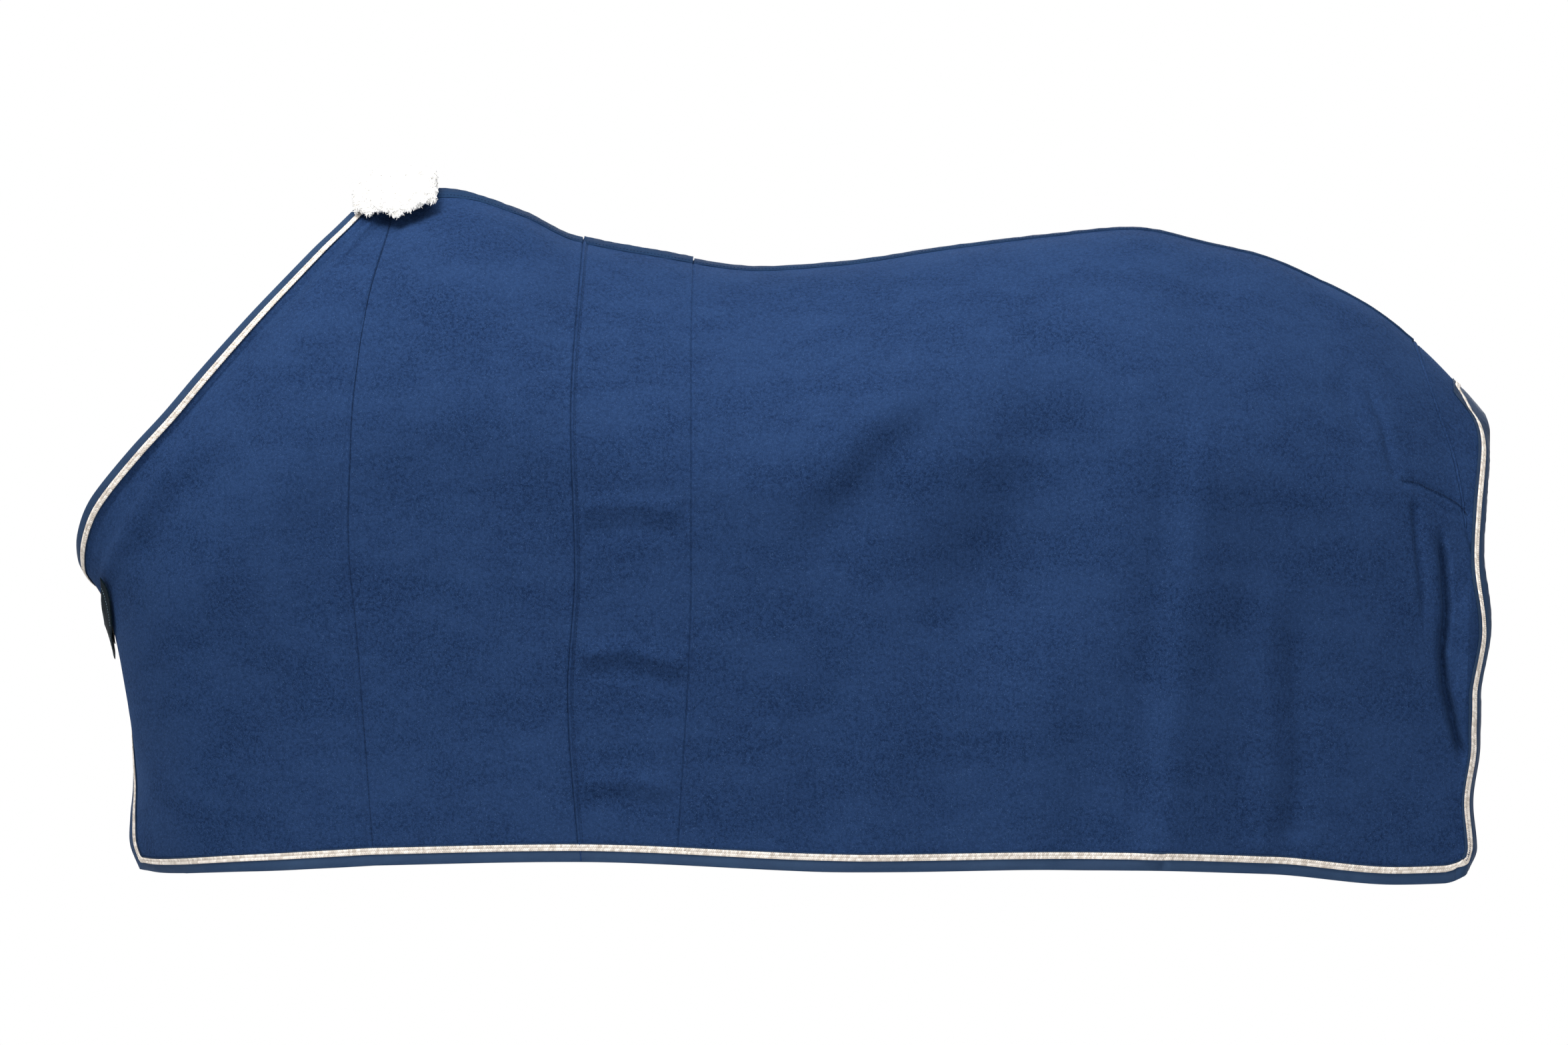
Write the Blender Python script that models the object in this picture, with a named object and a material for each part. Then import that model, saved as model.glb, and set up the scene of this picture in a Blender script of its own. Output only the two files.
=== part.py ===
"""Fleece show rug for a horse, in the shape it takes on the animal's back.

Metres. -X is the chest, +X the tail, -Y the horse's left side and +Z up. The origin is on the
back line, at the lowest point of the saddle dip. The cloth is a skin laid out on two grids for
each side: a front patch from the neck edge to the shoulder seam, and a body from there to the
tail. Every panel, binding and braid is cut from those grids, so they all follow one shape.
"""

import math

import bmesh
import bpy
import numpy as np
from mathutils import Matrix, Vector
from mathutils.bvhtree import BVHTree

# Overall sizes
LENGTH = 1.819           # chest to tail edge
DROP = 0.780             # saddle dip to hem
BARREL_HALF = 0.310      # half the width at the widest rib

# Cloth and trims
CLOTH = 0.0030           # fleece
SEAM_GAP = 0.0003        # between two pieces sewn edge to edge
BINDING_LEG = 0.023      # each leg of the folded edge binding
BINDING_CLOTH = 0.0008
BINDING_GAP = 0.0004     # binding to fleece
BRAID_WIDTH = 0.0090
BRAID_THICK = 0.0016
BRAID_INSET = 0.74 * BINDING_LEG  # rug's edge to the middle of the braid
BRAID_GAP = 0.0007       # braid to binding
MITRE_TRIM = 0.0008      # taken off the inner end of each mitre
TAPE_HALF = 0.035        # half the width of the tape along the spine
TAPE_THICK = 0.0012
TAPE_GAP = 0.0006
TAPE_ROW = 0.45          # share of its half width where it bends
TAPE_BREAK = 0.002       # between two tapes, over a seam
TAPE_END = 0.30          # share of its width left at the tail
TAPE_SKIP = 0.004        # no bend in a tape this close to its end
FRONT_OVERLAP = 0.020    # each front edge passes the chest's middle by this much at the neck
OVERLAP_STEP = 0.012     # the right front lies this far behind the left one
OVERLAP_FADE = 0.080     # and comes back to its own line this far from the middle
OVERLAP_TOP = -0.20      # share of DROP at which the step begins, below the neck
OVERLAP_RISE = 0.15      # share of DROP over which it grows

# Chest closure
STRAP_WIDTH = 0.050
STRAP_THICK = 0.0020
STRAP_TOP = 0.070        # below the neck corner, along the front edge
STRAP_SEWN = -0.074      # its stitched line, round the chest from the middle
STRAP_END = 0.105        # its free end, round the other side
TAB_LENGTH = 0.018       # folded end behind the stitched line
PATCH_LENGTH = 0.050     # hook patch and loop patch
PATCH_THICK = 0.0015
PATCH_INSET = 0.004      # patch edge to strap edge
PATCH_GAP = 0.0003
PATCH_SEAT = 0.0008      # loop patch and tab to the fleece
STRAP_LIFT = PATCH_SEAT + 2 * PATCH_THICK + 2 * PATCH_GAP

# Withers pad
PAD_FRONT = 0.012        # in front of the neck edge
PAD_LENGTH = 0.108
PAD_HALF = 0.092
PAD_CROWN = 0.034
PAD_RIM = 0.010
PAD_GAP = 0.0007
PAD_END_HALF = 0.55      # share of its half width at its ends
PAD_HANG = 0.35          # how steeply it falls in front of the neck edge
PAD_REACH = 0.02         # how far below the back line it still finds something to lie on
PAD_COLUMNS = 12
PAD_ROWS = 18
PAD_FINE = 6             # rays to each cell

# Fold line where the left front opens, and its hinge
FOLD_X = -0.362837 * LENGTH
FOLD_CLEARANCE = 0.007   # hinge line outside the trims at the fold
FOLD_LEAN = 0.060        # the hinge leans in by this much from hem to neck

# Shape: stations are shares of LENGTH from the origin, heights are shares of DROP
BACK_LINE = ((-0.300, 0.105), (-0.272, 0.119), (-0.244, 0.126), (-0.188, 0.090), (-0.150, 0.048),
             (-0.094, 0.022), (-0.019, -0.003), (0.038, 0.005), (0.113, 0.030), (0.188, 0.051),
             (0.244, 0.062), (0.300, 0.036), (0.338, 0.015), (0.375, -0.022), (0.413, -0.068),
             (0.450, -0.137), (0.484, -0.219), (0.500, -0.262))
HEM_LINE = ((-0.453, -1.000), (-0.366, -0.996), (-0.291, -0.987), (-0.150, -0.980), (0.056, -0.997),
            (0.188, -0.993), (0.338, -1.000), (0.430, -1.018), (0.460, -1.016), (0.480, -0.995))
REAR_EDGE = ((-0.219, 0.484), (-0.240, 0.493), (-0.275, 0.497), (-0.398, 0.493), (-0.480, 0.492),
             (-0.601, 0.496), (-0.716, 0.488), (-0.790, 0.489), (-0.890, 0.484), (-0.960, 0.486),
             (-0.995, 0.480))
SHOULDER_SEAM = ((0.118, -0.277), (-0.070, -0.297), (-0.271, -0.308), (-0.422, -0.310),
                 (-0.656, -0.301), (-0.987, -0.290))
GIRTH_SEAM = ((0.043, -0.144), (-0.255, -0.152), (-0.505, -0.149), (-0.704, -0.154), (-0.979, -0.146))
FLANK_SEAM = ((0.009, -0.066), (-0.137, -0.067), (-0.505, -0.067), (-0.989, -0.077))
GUSSET_SEAM = ((-0.121, 0.443), (-0.237, 0.459), (-0.332, 0.470), (-0.480, 0.477), (-0.995, 0.466))
GUSSET_END = -0.480      # where the gusset seam meets the rear binding
GUSSET_STRIP = 0.004     # cloth left between the two below that

# Half widths as shares of BARREL_HALF, and the height over which the back rounds down
HALF_WIDTH = ((-0.300, 0.72), (-0.220, 0.86), (-0.144, 0.94), (0.000, 1.00), (0.220, 0.99),
              (0.330, 0.90), (0.430, 0.76), (0.497, 0.64))
ROUND_HEIGHT = ((-0.300, 0.330), (-0.100, 0.300), (0.200, 0.290), (0.400, 0.310), (0.497, 0.330))
RIDGE_POWER = 1.62       # below 2 the back has a soft ridge
SIDE_FLARE = 0.012

# Neck loop and front edge: station, half gap in metres, height
NECK_LOOP = ((-0.300, 0.000, 0.105), (-0.304, 0.034, 0.095), (-0.319, 0.070, 0.060),
             (-0.338, 0.096, 0.018), (-0.375, 0.127, -0.072), (-0.413, 0.145, -0.172),
             (-0.439, 0.148, -0.243), (-0.462, 0.143, -0.301), (-0.484, 0.120, -0.362),
             (-0.495, 0.098, -0.402), (-0.501, 0.072, -0.446), (-0.501, 0.045, -0.482),
             (-0.498, 0.015, -0.506))
NECK_CORNER = (-0.496, -0.516)
FRONT_EDGE = ((-0.4905, -0.002, -0.545), (-0.480, 0.000, -0.590), (-0.4735, 0.002, -0.640),
              (-0.469, 0.006, -0.700), (-0.465, 0.013, -0.770), (-0.462, 0.024, -0.850),
              (-0.464, 0.035, -0.910), (-0.464, 0.044, -0.955), (-0.457, 0.060, -0.995))
HEM_FRONT = ((-0.440, 0.105, -1.000), (-0.410, 0.165, -0.999), (-0.366, 0.215, -0.996),
             (-0.325, 0.242, -0.991))

ROUND_ROWS = 5
SIDE_ROWS = 8
FRONT_COLUMNS = 14
SHOULDER_COLUMNS = 4
SADDLE_COLUMNS = 3
RUMP_COLUMNS = 11
GUSSET_COLUMNS = 2

FLEECE = ("fleece", (0.020, 0.052, 0.135), 0.92)
SATIN = ("satin_binding", (0.012, 0.030, 0.078), 0.45)
BRAID = ("plaited_braid", (0.52, 0.47, 0.40), 0.55)
WEBBING = ("webbing", (0.010, 0.022, 0.030), 0.40)
HOOK = ("hook_and_loop", (0.012, 0.014, 0.018), 0.85)
SHEEPSKIN = ("sheepskin", (0.86, 0.84, 0.80), 0.95)


# ---------------------------------------------------------------- curves

def through(knots, at):
    """Value at a position on a monotone curve through (position, value) knots."""
    places, values = np.array(sorted(knots)).T
    slopes = np.diff(values) / np.diff(places)
    turn = slopes[1:] * slopes[:-1]
    inner = np.where(turn > 0, 2 * turn / (slopes[1:] + slopes[:-1] + 1e-12 * (turn <= 0)), 0)
    tangents = np.concatenate([slopes[:1], inner, slopes[-1:]])
    at = min(max(at, places[0]), places[-1])
    i = min(max(int(np.searchsorted(places, at)) - 1, 0), len(slopes) - 1)
    span = places[i + 1] - places[i]
    t = (at - places[i]) / span
    return ((1 + 2 * t) * (1 - t) ** 2 * values[i] + t * (1 - t) ** 2 * span * tangents[i]
            + t * t * (3 - 2 * t) * values[i + 1] + t * t * (t - 1) * span * tangents[i + 1])


def smooth_path(points, steps=24):
    """A dense path through the points, a Catmull-Rom curve."""
    points = np.array(points, float)
    ends = np.vstack([2 * points[0] - points[1], points, 2 * points[-1] - points[-2]])
    path = []
    for i in range(len(points) - 1):
        a, b, c, d = ends[i:i + 4]
        for step in range(steps):
            t = step / steps
            path.append(0.5 * (2 * b + (c - a) * t + (2 * a - 5 * b + 4 * c - d) * t * t
                               + (3 * b - a - 3 * c + d) * t ** 3))
    path.append(points[-1])
    return np.array(path)


def lengths(path):
    """Distance along a path at each of its points."""
    return np.concatenate([[0.0], np.cumsum(np.linalg.norm(np.diff(path, axis=0), axis=1))])


def on_path(path, distance):
    """The point at a distance along a path."""
    run = lengths(path)
    return np.array([np.interp(distance, run, path[:, axis]) for axis in range(3)])


def mix(a, b, share):
    """Between a and b."""
    return a + (b - a) * share


def unit(vector):
    """The vector at length one."""
    return vector / max(float(np.linalg.norm(vector)), 1e-12)


# ---------------------------------------------------------------- body skin

def back_height(x):
    """Height of the back line at x."""
    return DROP * through(BACK_LINE, x / LENGTH)


def hem_height(x):
    """Height of the hem at x."""
    return DROP * through(HEM_LINE, x / LENGTH)


def seam_place(seam, z):
    """x of a seam or edge, given as (height, station) knots, at height z."""
    return LENGTH * through(seam, z / DROP)


def rear_leg(z):
    """x of the inner end of the rear binding at height z."""
    return seam_place(REAR_EDGE, z) - BINDING_LEG


def half_width(x):
    """Half the rug's width at x, at its widest."""
    return BARREL_HALF * through(HALF_WIDTH, x / LENGTH)


def round_height(x):
    """How far the skin has come down at its widest."""
    return through(ROUND_HEIGHT, x / LENGTH)


def rounded_point(x, angle):
    """A point of the rounded back: angle 0 on the spine, a quarter turn at the widest."""
    power = 2 / RIDGE_POWER
    side = half_width(x) * max(math.sin(angle), 0.0) ** power
    fall = round_height(x) * (1 - max(math.cos(angle), 0.0) ** power)
    return np.array([x, -side, back_height(x) - fall])


def spine_angle(x, side):
    """The angle at which the rounded back is this far from the spine."""
    return math.asin(min(side / half_width(x), 1.0) ** (RIDGE_POWER / 2))


def body_rows():
    """Row names from the spine down: on the tape, round the back, down the side, binding, hem."""
    rows = [("tape", 0.0), ("tape", TAPE_ROW), ("tape", 1.0)]
    rows += [("round", (i + 1) / ROUND_ROWS) for i in range(ROUND_ROWS)]
    rows += [("side", (i + 1) / SIDE_ROWS) for i in range(SIDE_ROWS)]
    rows.append(("hem", 1.0))
    return rows


def body_point(x, row):
    """The skin's left point at x on one row."""
    kind, share = row
    if kind == "tape":
        return rounded_point(x, spine_angle(x, TAPE_HALF * share))
    if kind == "round":
        return rounded_point(x, mix(spine_angle(x, TAPE_HALF), math.pi / 2, share))
    widest = rounded_point(x, math.pi / 2)
    hem = hem_height(x)
    leg = hem + BINDING_LEG
    z = mix(widest[2], leg, share) if kind == "side" else hem
    flare = SIDE_FLARE * (widest[2] - z) / (widest[2] - hem)
    return np.array([x, widest[1] - flare, z])


def body_column(place, row, guess):
    """The skin's left point on a row, where x follows place(z)."""
    x = guess
    for _ in range(40):
        x = mix(x, place(body_point(x, row)[2]), 0.5)
    return body_point(x, row)


def body_places():
    """For each column of the body grid, its x as a function of height."""
    lines = [lambda z: seam_place(SHOULDER_SEAM, z), lambda z: seam_place(GIRTH_SEAM, z),
             lambda z: seam_place(FLANK_SEAM, z),
             lambda z: min(seam_place(GUSSET_SEAM, z), rear_leg(z) - GUSSET_STRIP),
             rear_leg, lambda z: seam_place(REAR_EDGE, z)]
    counts = [SHOULDER_COLUMNS, SADDLE_COLUMNS, RUMP_COLUMNS, GUSSET_COLUMNS, 1]
    places = [lines[0]]
    for left, right, count in zip(lines, lines[1:], counts):
        for i in range(count):
            places.append(lambda z, a=left, b=right, t=(i + 1) / count: mix(a(z), b(z), t))
    return places


def body_grid():
    """The left body skin, as rows by columns of points."""
    rows, places = body_rows(), body_places()
    grid = np.zeros((len(rows), len(places), 3))
    for i, row in enumerate(rows):
        for k, place in enumerate(places):
            grid[i, k] = body_column(place, row, place(-0.5 * DROP))
    corner = np.array([LENGTH * REAR_EDGE[-1][1], grid[-1, -2, 1], DROP * REAR_EDGE[-1][0]])
    grid[-1, -1] = corner
    return grid


# ---------------------------------------------------------------- front patch

def space(points):
    """Points given as station, half gap, height, in metres on the left side."""
    return [np.array([LENGTH * x, -y, DROP * z]) for x, y, z in points]


def front_sides(seam):
    """The front patch's edges: neck, front edge, hem, and its seam side from the withers down."""
    corner = np.array([LENGTH * NECK_CORNER[0], FRONT_OVERLAP, DROP * NECK_CORNER[1]])
    neck = smooth_path(space(NECK_LOOP) + [corner])[::-1]
    edge = smooth_path([corner] + space(FRONT_EDGE))
    hem = smooth_path([edge[-1]] + space(HEM_FRONT) + [seam[-1]])
    side = [neck[-1], mix(neck[-1], seam[0], BINDING_LEG / np.linalg.norm(seam[0] - neck[-1]))]
    return neck, edge, hem, np.array(side + list(seam))


def front_patch(sides, share, drop, fall):
    """A point of the front: share from front edge to seam, drop down the front, fall down the seam."""
    neck, edge, hem, seam = sides
    top = on_path(neck, share * lengths(neck)[-1])
    bottom = on_path(hem, share * lengths(hem)[-1])
    front = on_path(edge, drop * lengths(edge)[-1])
    back = on_path(seam, fall * lengths(seam)[-1])
    depth = mix(drop, fall, share)
    corners = mix(mix(neck[0], neck[-1], share), mix(hem[0], hem[-1], share), depth)
    return mix(front, back, share) + mix(top, bottom, depth) - corners


def front_rows(sides):
    """Drop down the front edge and fall down the seam for each row of the front patch."""
    edge, seam = sides[1], sides[3]
    falls = lengths(seam) / lengths(seam)[-1]
    leg = BINDING_LEG / lengths(edge)[-1]
    inner = (falls[1:-1] - falls[1]) / (falls[-2] - falls[1])
    drops = np.concatenate([[0.0], mix(leg, 1 - leg, inner), [1.0]])
    return drops, falls


def front_grid(sides):
    """The left front skin, from the neck edge down and from the front edge back to the seam."""
    drops, falls = front_rows(sides)
    widths = [lengths(sides[0])[-1], lengths(sides[2])[-1]]
    grid = np.zeros((len(drops), FRONT_COLUMNS + 2, 3))
    for i, (drop, fall) in enumerate(zip(drops, falls)):
        leg = BINDING_LEG / mix(widths[0], widths[1], drop)
        shares = [0.0] + [mix(leg, 1.0, k / FRONT_COLUMNS) for k in range(FRONT_COLUMNS + 1)]
        for k, share in enumerate(shares):
            grid[i, k] = front_patch(sides, share, drop, fall)
    return grid


def tuck_behind(points):
    """The right front's points, stepped back where it lies under the left one."""
    points = points.copy()
    near = np.clip(1 - np.abs(points[..., 1]) / OVERLAP_FADE, 0, 1)
    low = np.clip((OVERLAP_TOP * DROP - points[..., 2]) / (OVERLAP_RISE * DROP), 0, 1)
    near, low = near * near * (3 - 2 * near), low * low * (3 - 2 * low)
    points[..., 0] += OVERLAP_STEP * np.maximum(near, points[..., 1] > 0) * low
    return points


def normals(grid):
    """Outward normals of a left grid."""
    down = np.gradient(grid, axis=0)
    back = np.gradient(grid, axis=1)
    out = np.cross(down, back)
    flat = np.abs(grid[..., 1]) < 1e-6
    out[flat & (grid[..., 2] > -0.3 * DROP), 1] = 0.0
    return out / np.linalg.norm(out, axis=2, keepdims=True)


# ---------------------------------------------------------------- solids

def material(finish):
    """The finish's material, made once."""
    name, colour, roughness = finish
    found = bpy.data.materials.get(name)
    if found:
        return found
    made = bpy.data.materials.new(name)
    made.use_nodes = True
    shader = made.node_tree.nodes["Principled BSDF"]
    shader.inputs["Base Color"].default_value = (*colour, 1.0)
    shader.inputs["Roughness"].default_value = roughness
    shader.inputs["Metallic"].default_value = 0.0
    return made


def solid(name, points, faces, finish):
    """A named closed object from points and faces laid out on the left; right pieces are mirrored."""
    hand = -1.0 if name.startswith("right_") else 1.0
    mesh = bpy.data.meshes.new(name)
    mesh.from_pydata([(p[0], hand * p[1], p[2]) for p in points], [], faces)
    shaped = bmesh.new()
    shaped.from_mesh(mesh)
    bmesh.ops.recalc_face_normals(shaped, faces=shaped.faces)
    shaped.to_mesh(mesh)
    shaped.free()
    mesh.shade_smooth()
    mesh.set_sharp_from_angle(angle=math.radians(50))
    mesh.materials.append(material(finish))
    made = bpy.data.objects.new(name, mesh)
    bpy.context.scene.collection.objects.link(made)
    return made


def cell_triangles(i, k, crossed):
    """Two triangles of a grid cell, seen from outside on the left."""
    a, b, c, d = (i, k), (i + 1, k), (i + 1, k + 1), (i, k + 1)
    return [(a, b, d), (b, c, d)] if crossed else [(a, b, c), (a, c, d)]


def sheet(name, grid, outward, cells, finish, lift=0.0, thick=CLOTH, crossed=(), inset=SEAM_GAP / 2):
    """A sheet of even thickness over some cells of a grid, drawn in from its edges."""
    triangles = [t for i, k in cells for t in cell_triangles(i, k, (i, k) in crossed)]
    sides = [(t[e], t[(e + 1) % 3]) for t in triangles for e in range(3)]
    rim = [(a, b) for a, b in sides if (b, a) not in set(sides)]
    pull = {}
    for a, b in rim:
        inward = unit(np.cross(outward[a] + outward[b], grid[b] - grid[a]))
        pull.setdefault(a, []).append(inward)
        pull.setdefault(b, []).append(inward)
    corners = sorted({corner for triangle in triangles for corner in triangle})
    index = {corner: n for n, corner in enumerate(corners)}
    outer = []
    for corner in corners:
        point = grid[corner] + outward[corner] * lift
        if corner in pull:
            first, last = pull[corner][0], pull[corner][-1]
            middle = unit(first + last)
            point = point + middle * inset / max(float(np.dot(middle, first)), 0.5)
        outer.append(point)
    inner = [point - outward[corner] * thick for corner, point in zip(corners, outer)]
    total = len(corners)
    faces = [[index[c] for c in t] for t in triangles]
    faces += [[index[c] + total for c in reversed(t)] for t in triangles]
    faces += [[index[b], index[a], index[a] + total, index[b] + total] for a, b in rim]
    return solid(name, outer + inner, faces, finish)


def swept(name, sections, falling, finish):
    """A closed bar through cross-sections; `falling` strips split from their end to their start."""
    points = [p for section in sections for p in section]
    size, faces = len(sections[0]), []
    for s in range(len(sections) - 1):
        for m in range(size):
            a, b = s * size + m, s * size + (m + 1) % size
            c, d = b + size, a + size
            faces += [[a, b, d], [b, c, d]] if m in falling else [[a, b, c], [a, c, d]]
    faces.append(list(range(size))[::-1])
    faces.append([(len(sections) - 1) * size + m for m in range(size)])
    return solid(name, points, faces, finish)


def channel(name, stations):
    """A binding folded round the rug's edge. A station is edge, leg end and their normals."""
    near = BINDING_GAP
    far = BINDING_GAP + BINDING_CLOTH
    sections = []
    for edge, leg, edge_out, leg_out in stations:
        away = unit(edge - leg)
        sections.append([leg + leg_out * far, edge + away * far + edge_out * far,
                         edge + away * far - edge_out * (CLOTH + far), leg - leg_out * (CLOTH + far),
                         leg - leg_out * (CLOTH + near), edge + away * near - edge_out * (CLOTH + near),
                         edge + away * near + edge_out * near, leg + leg_out * near])
    return swept(name, sections, {0, 4}, SATIN)


def braid(name, stations):
    """A flat braid sewn on the binding's outer leg."""
    low = BINDING_GAP + BINDING_CLOTH + BRAID_GAP
    high = low + BRAID_THICK
    near = (BRAID_INSET - BRAID_WIDTH / 2) / BINDING_LEG
    far = (BRAID_INSET + BRAID_WIDTH / 2) / BINDING_LEG
    sections = []
    for edge, leg, edge_out, leg_out in stations:
        lower, upper = mix(edge, leg, near), mix(edge, leg, far)
        lower_out, upper_out = mix(edge_out, leg_out, near), mix(edge_out, leg_out, far)
        sections.append([upper + upper_out * high, lower + lower_out * high,
                         lower + lower_out * low, upper + upper_out * low])
    return swept(name, sections, {0}, BRAID)


# ---------------------------------------------------------------- trims along the edges

def station(grid, outward, edge, leg):
    """A trim station from two grid corners."""
    return grid[edge], grid[leg], outward[edge], outward[leg]


def mitred(corner, neighbour):
    """A corner station, opened by half a seam gap towards its neighbour."""
    edge, leg, edge_out, leg_out = corner
    along = unit(edge - leg)
    across = neighbour[0] - edge
    across = unit(across - along * np.dot(across, along))
    shift = across * SEAM_GAP / 2
    return edge + shift, leg + along * MITRE_TRIM + shift, edge_out, leg_out


def set_back(end, neighbour):
    """An end station, moved half a seam gap towards its neighbour."""
    shift = unit(neighbour[0] - end[0]) * SEAM_GAP / 2
    return end[0] + shift, end[1] + shift, end[2], end[3]


def edge_runs(front, front_out, body, body_out):
    """Stations of the neck, front, hem and rear trims of one side."""
    low, across = front.shape[0] - 1, front.shape[1] - 1
    deep, back = body.shape[0] - 1, body.shape[1] - 1
    neck = [station(front, front_out, (0, k), (1, k)) for k in range(1, across + 1)]
    chest = [station(front, front_out, (i, 0), (i, 1)) for i in range(1, low)]
    hem = [station(body, body_out, (deep, k), (deep - 1, k)) for k in range(back - 1, -1, -1)]
    hem += [station(front, front_out, (low, k), (low - 1, k)) for k in range(across - 1, 0, -1)]
    rear = [station(body, body_out, (i, back), (i, back - 1)) for i in range(deep - 1, -1, -1)]
    top = station(front, front_out, (0, 0), (1, 1))
    toe = station(front, front_out, (low, 0), (low - 1, 1))
    heel = station(body, body_out, (deep, back), (deep - 1, back - 1))
    neck = [mitred(top, neck[0])] + neck[:-1] + [set_back(neck[-1], neck[-2])]
    chest = [mitred(top, chest[0])] + chest + [mitred(toe, chest[-1])]
    hem = [mitred(heel, hem[0])] + hem + [mitred(toe, hem[-1])]
    rear = [mitred(heel, rear[0])] + rear[:-1] + [set_back(rear[-1], rear[-2])]
    return {"neck": neck, "front": chest, "hem": hem, "rear": rear}


def cells_between(rows, first, last):
    """All cells of some rows and columns."""
    return [(i, k) for i in rows for k in range(first, last)]


def body_panels(side, grid, outward):
    """Shoulder, saddle and rump panels and the tail gusset of one side."""
    rows = range(grid.shape[0] - 1)
    girth = SHOULDER_COLUMNS
    flank = girth + SADDLE_COLUMNS
    gusset = flank + RUMP_COLUMNS
    rear = grid.shape[1] - 1
    split = int(np.argmin(np.abs(grid[:, rear, 2] - GUSSET_END * DROP)))
    tail = cells_between(range(split), gusset, rear)
    rump = cells_between(rows, flank, gusset) + cells_between(range(split, len(rows)), gusset, rear)
    pieces = {"shoulder_panel": cells_between(rows, 0, girth),
              "saddle_panel": cells_between(rows, girth, flank), "rump_panel": rump,
              "tail_gusset": tail}
    for name, cells in pieces.items():
        sheet(f"{side}_{name}", grid, outward, cells, FLEECE)


def half_rug(side, front, body):
    """All cloth, bindings and braids of one side. Returns its trims and chest panel by name."""
    front_out, body_out = normals(front), normals(body)
    shared = front_out[2:, -1] + body_out[:, 0]
    shared /= np.linalg.norm(shared, axis=1, keepdims=True)
    front_out[2:, -1] = body_out[:, 0] = shared
    toe = (front.shape[0] - 2, 0)
    cells = cells_between(range(front.shape[0] - 1), 0, front.shape[1] - 1)
    made = {"chest_panel": sheet(f"{side}_chest_panel", front, front_out, cells, FLEECE, crossed=(toe,))}
    body_panels(side, body, body_out)
    for place, stations in edge_runs(front, front_out, body, body_out).items():
        made[f"{place}_binding"] = channel(f"{side}_{place}_binding", stations)
        made[f"{place}_braid"] = braid(f"{side}_{place}_braid", stations)
    return made


def cut_at_fold(piece, front_name, back_name):
    """Cuts a left piece at the fold line. Returns its front part; the back part stays as it is."""
    other = piece.copy()
    other.data = piece.data.copy()
    bpy.context.scene.collection.objects.link(other)
    piece.name, other.name = front_name, back_name
    for part, way in ((piece, -1.0), (other, 1.0)):
        shaped = bmesh.new()
        shaped.from_mesh(part.data)
        bmesh.ops.bisect_plane(shaped, geom=shaped.verts[:] + shaped.edges[:] + shaped.faces[:],
                               dist=1e-7, plane_co=(FOLD_X + way * SEAM_GAP / 2, 0, 0),
                               plane_no=(-way, 0, 0), clear_outer=True)
        rim = [edge for edge in shaped.edges if edge.is_boundary]
        bmesh.ops.edgeloop_fill(shaped, edges=rim)
        bmesh.ops.recalc_face_normals(shaped, faces=shaped.faces)
        shaped.to_mesh(part.data)
        shaped.free()
    return piece


# ---------------------------------------------------------------- spine tapes and withers pad

def on_back(body, x, share):
    """A point of the cloth near the spine: share of the tape's half width, negative on the left."""
    rows = [0.0, TAPE_ROW, 1.0]
    strip = [[np.interp(x, body[i, :, 0], body[i, :, axis]) for axis in range(3)] for i in range(3)]
    point = np.array([np.interp(abs(share), rows, [row[axis] for row in strip]) for axis in range(3)])
    return np.array([x, math.copysign(abs(point[1]), share), point[2]])


def spine_tape(name, body, first, last, end_share):
    """A tape over the spine between two stations, narrowing to a share of its width."""
    inner = [x for x in body[0, :, 0] if first + TAPE_SKIP < x < last - TAPE_SKIP]
    places = [first + TAPE_BREAK / 2] + inner + [last - TAPE_BREAK / 2]
    shares = (-1.0, -TAPE_ROW, 0.0, TAPE_ROW, 1.0)
    grid = np.zeros((len(shares), len(places), 3))
    for k, x in enumerate(places):
        width = mix(1.0, end_share, (x - first) / (last - first))
        for i, share in enumerate(shares):
            grid[i, k] = on_back(body, x, share * width)
    outward = np.cross(np.gradient(grid, axis=1), np.gradient(grid, axis=0))
    outward /= np.linalg.norm(outward, axis=2, keepdims=True)
    cells = cells_between(range(len(shares) - 1), 0, len(places) - 1)
    sheet(name, grid, outward, cells, SATIN, lift=TAPE_GAP + TAPE_THICK, thick=TAPE_THICK, inset=0.0)


def spine_tapes(body, pad_end):
    """The three tapes that meet at the girth and flank seams."""
    girth, flank = body[0, SHOULDER_COLUMNS, 0], body[0, SHOULDER_COLUMNS + SADDLE_COLUMNS, 0]
    tail = body[0, SHOULDER_COLUMNS + SADDLE_COLUMNS + RUMP_COLUMNS, 0]
    spine_tape("spine_tape_front", body, pad_end, girth, 1.0)
    spine_tape("spine_tape_middle", body, girth, flank, 1.0)
    spine_tape("spine_tape_rear", body, flank, tail, TAPE_END)


def pad_section(x, neck_x):
    """Half width and crown of the withers pad at x, both smaller at its ends."""
    share = (x - neck_x + PAD_FRONT) / PAD_LENGTH
    swell = math.sin(math.pi * mix(0.10, 0.90, share)) ** 0.5
    return PAD_HALF * mix(PAD_END_HALF, 1.0, swell * min(1.0, PAD_END_HALF + share)), PAD_CROWN * swell


def top_under(trees, x, side, neck_x):
    """Height of whatever lies under the pad at a place, or of its overhang past the neck edge."""
    under = rounded_point(max(x, neck_x), spine_angle(max(x, neck_x), abs(side)))[2]
    hits = [tree.ray_cast(Vector((x, side, DROP)), Vector((0, 0, -1)), DROP)[0] for tree in trees]
    found = [hit.z for hit in hits if hit and hit.z > under - PAD_REACH]
    return max(found + [under - PAD_HANG * max(neck_x - x, 0.0)])


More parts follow.
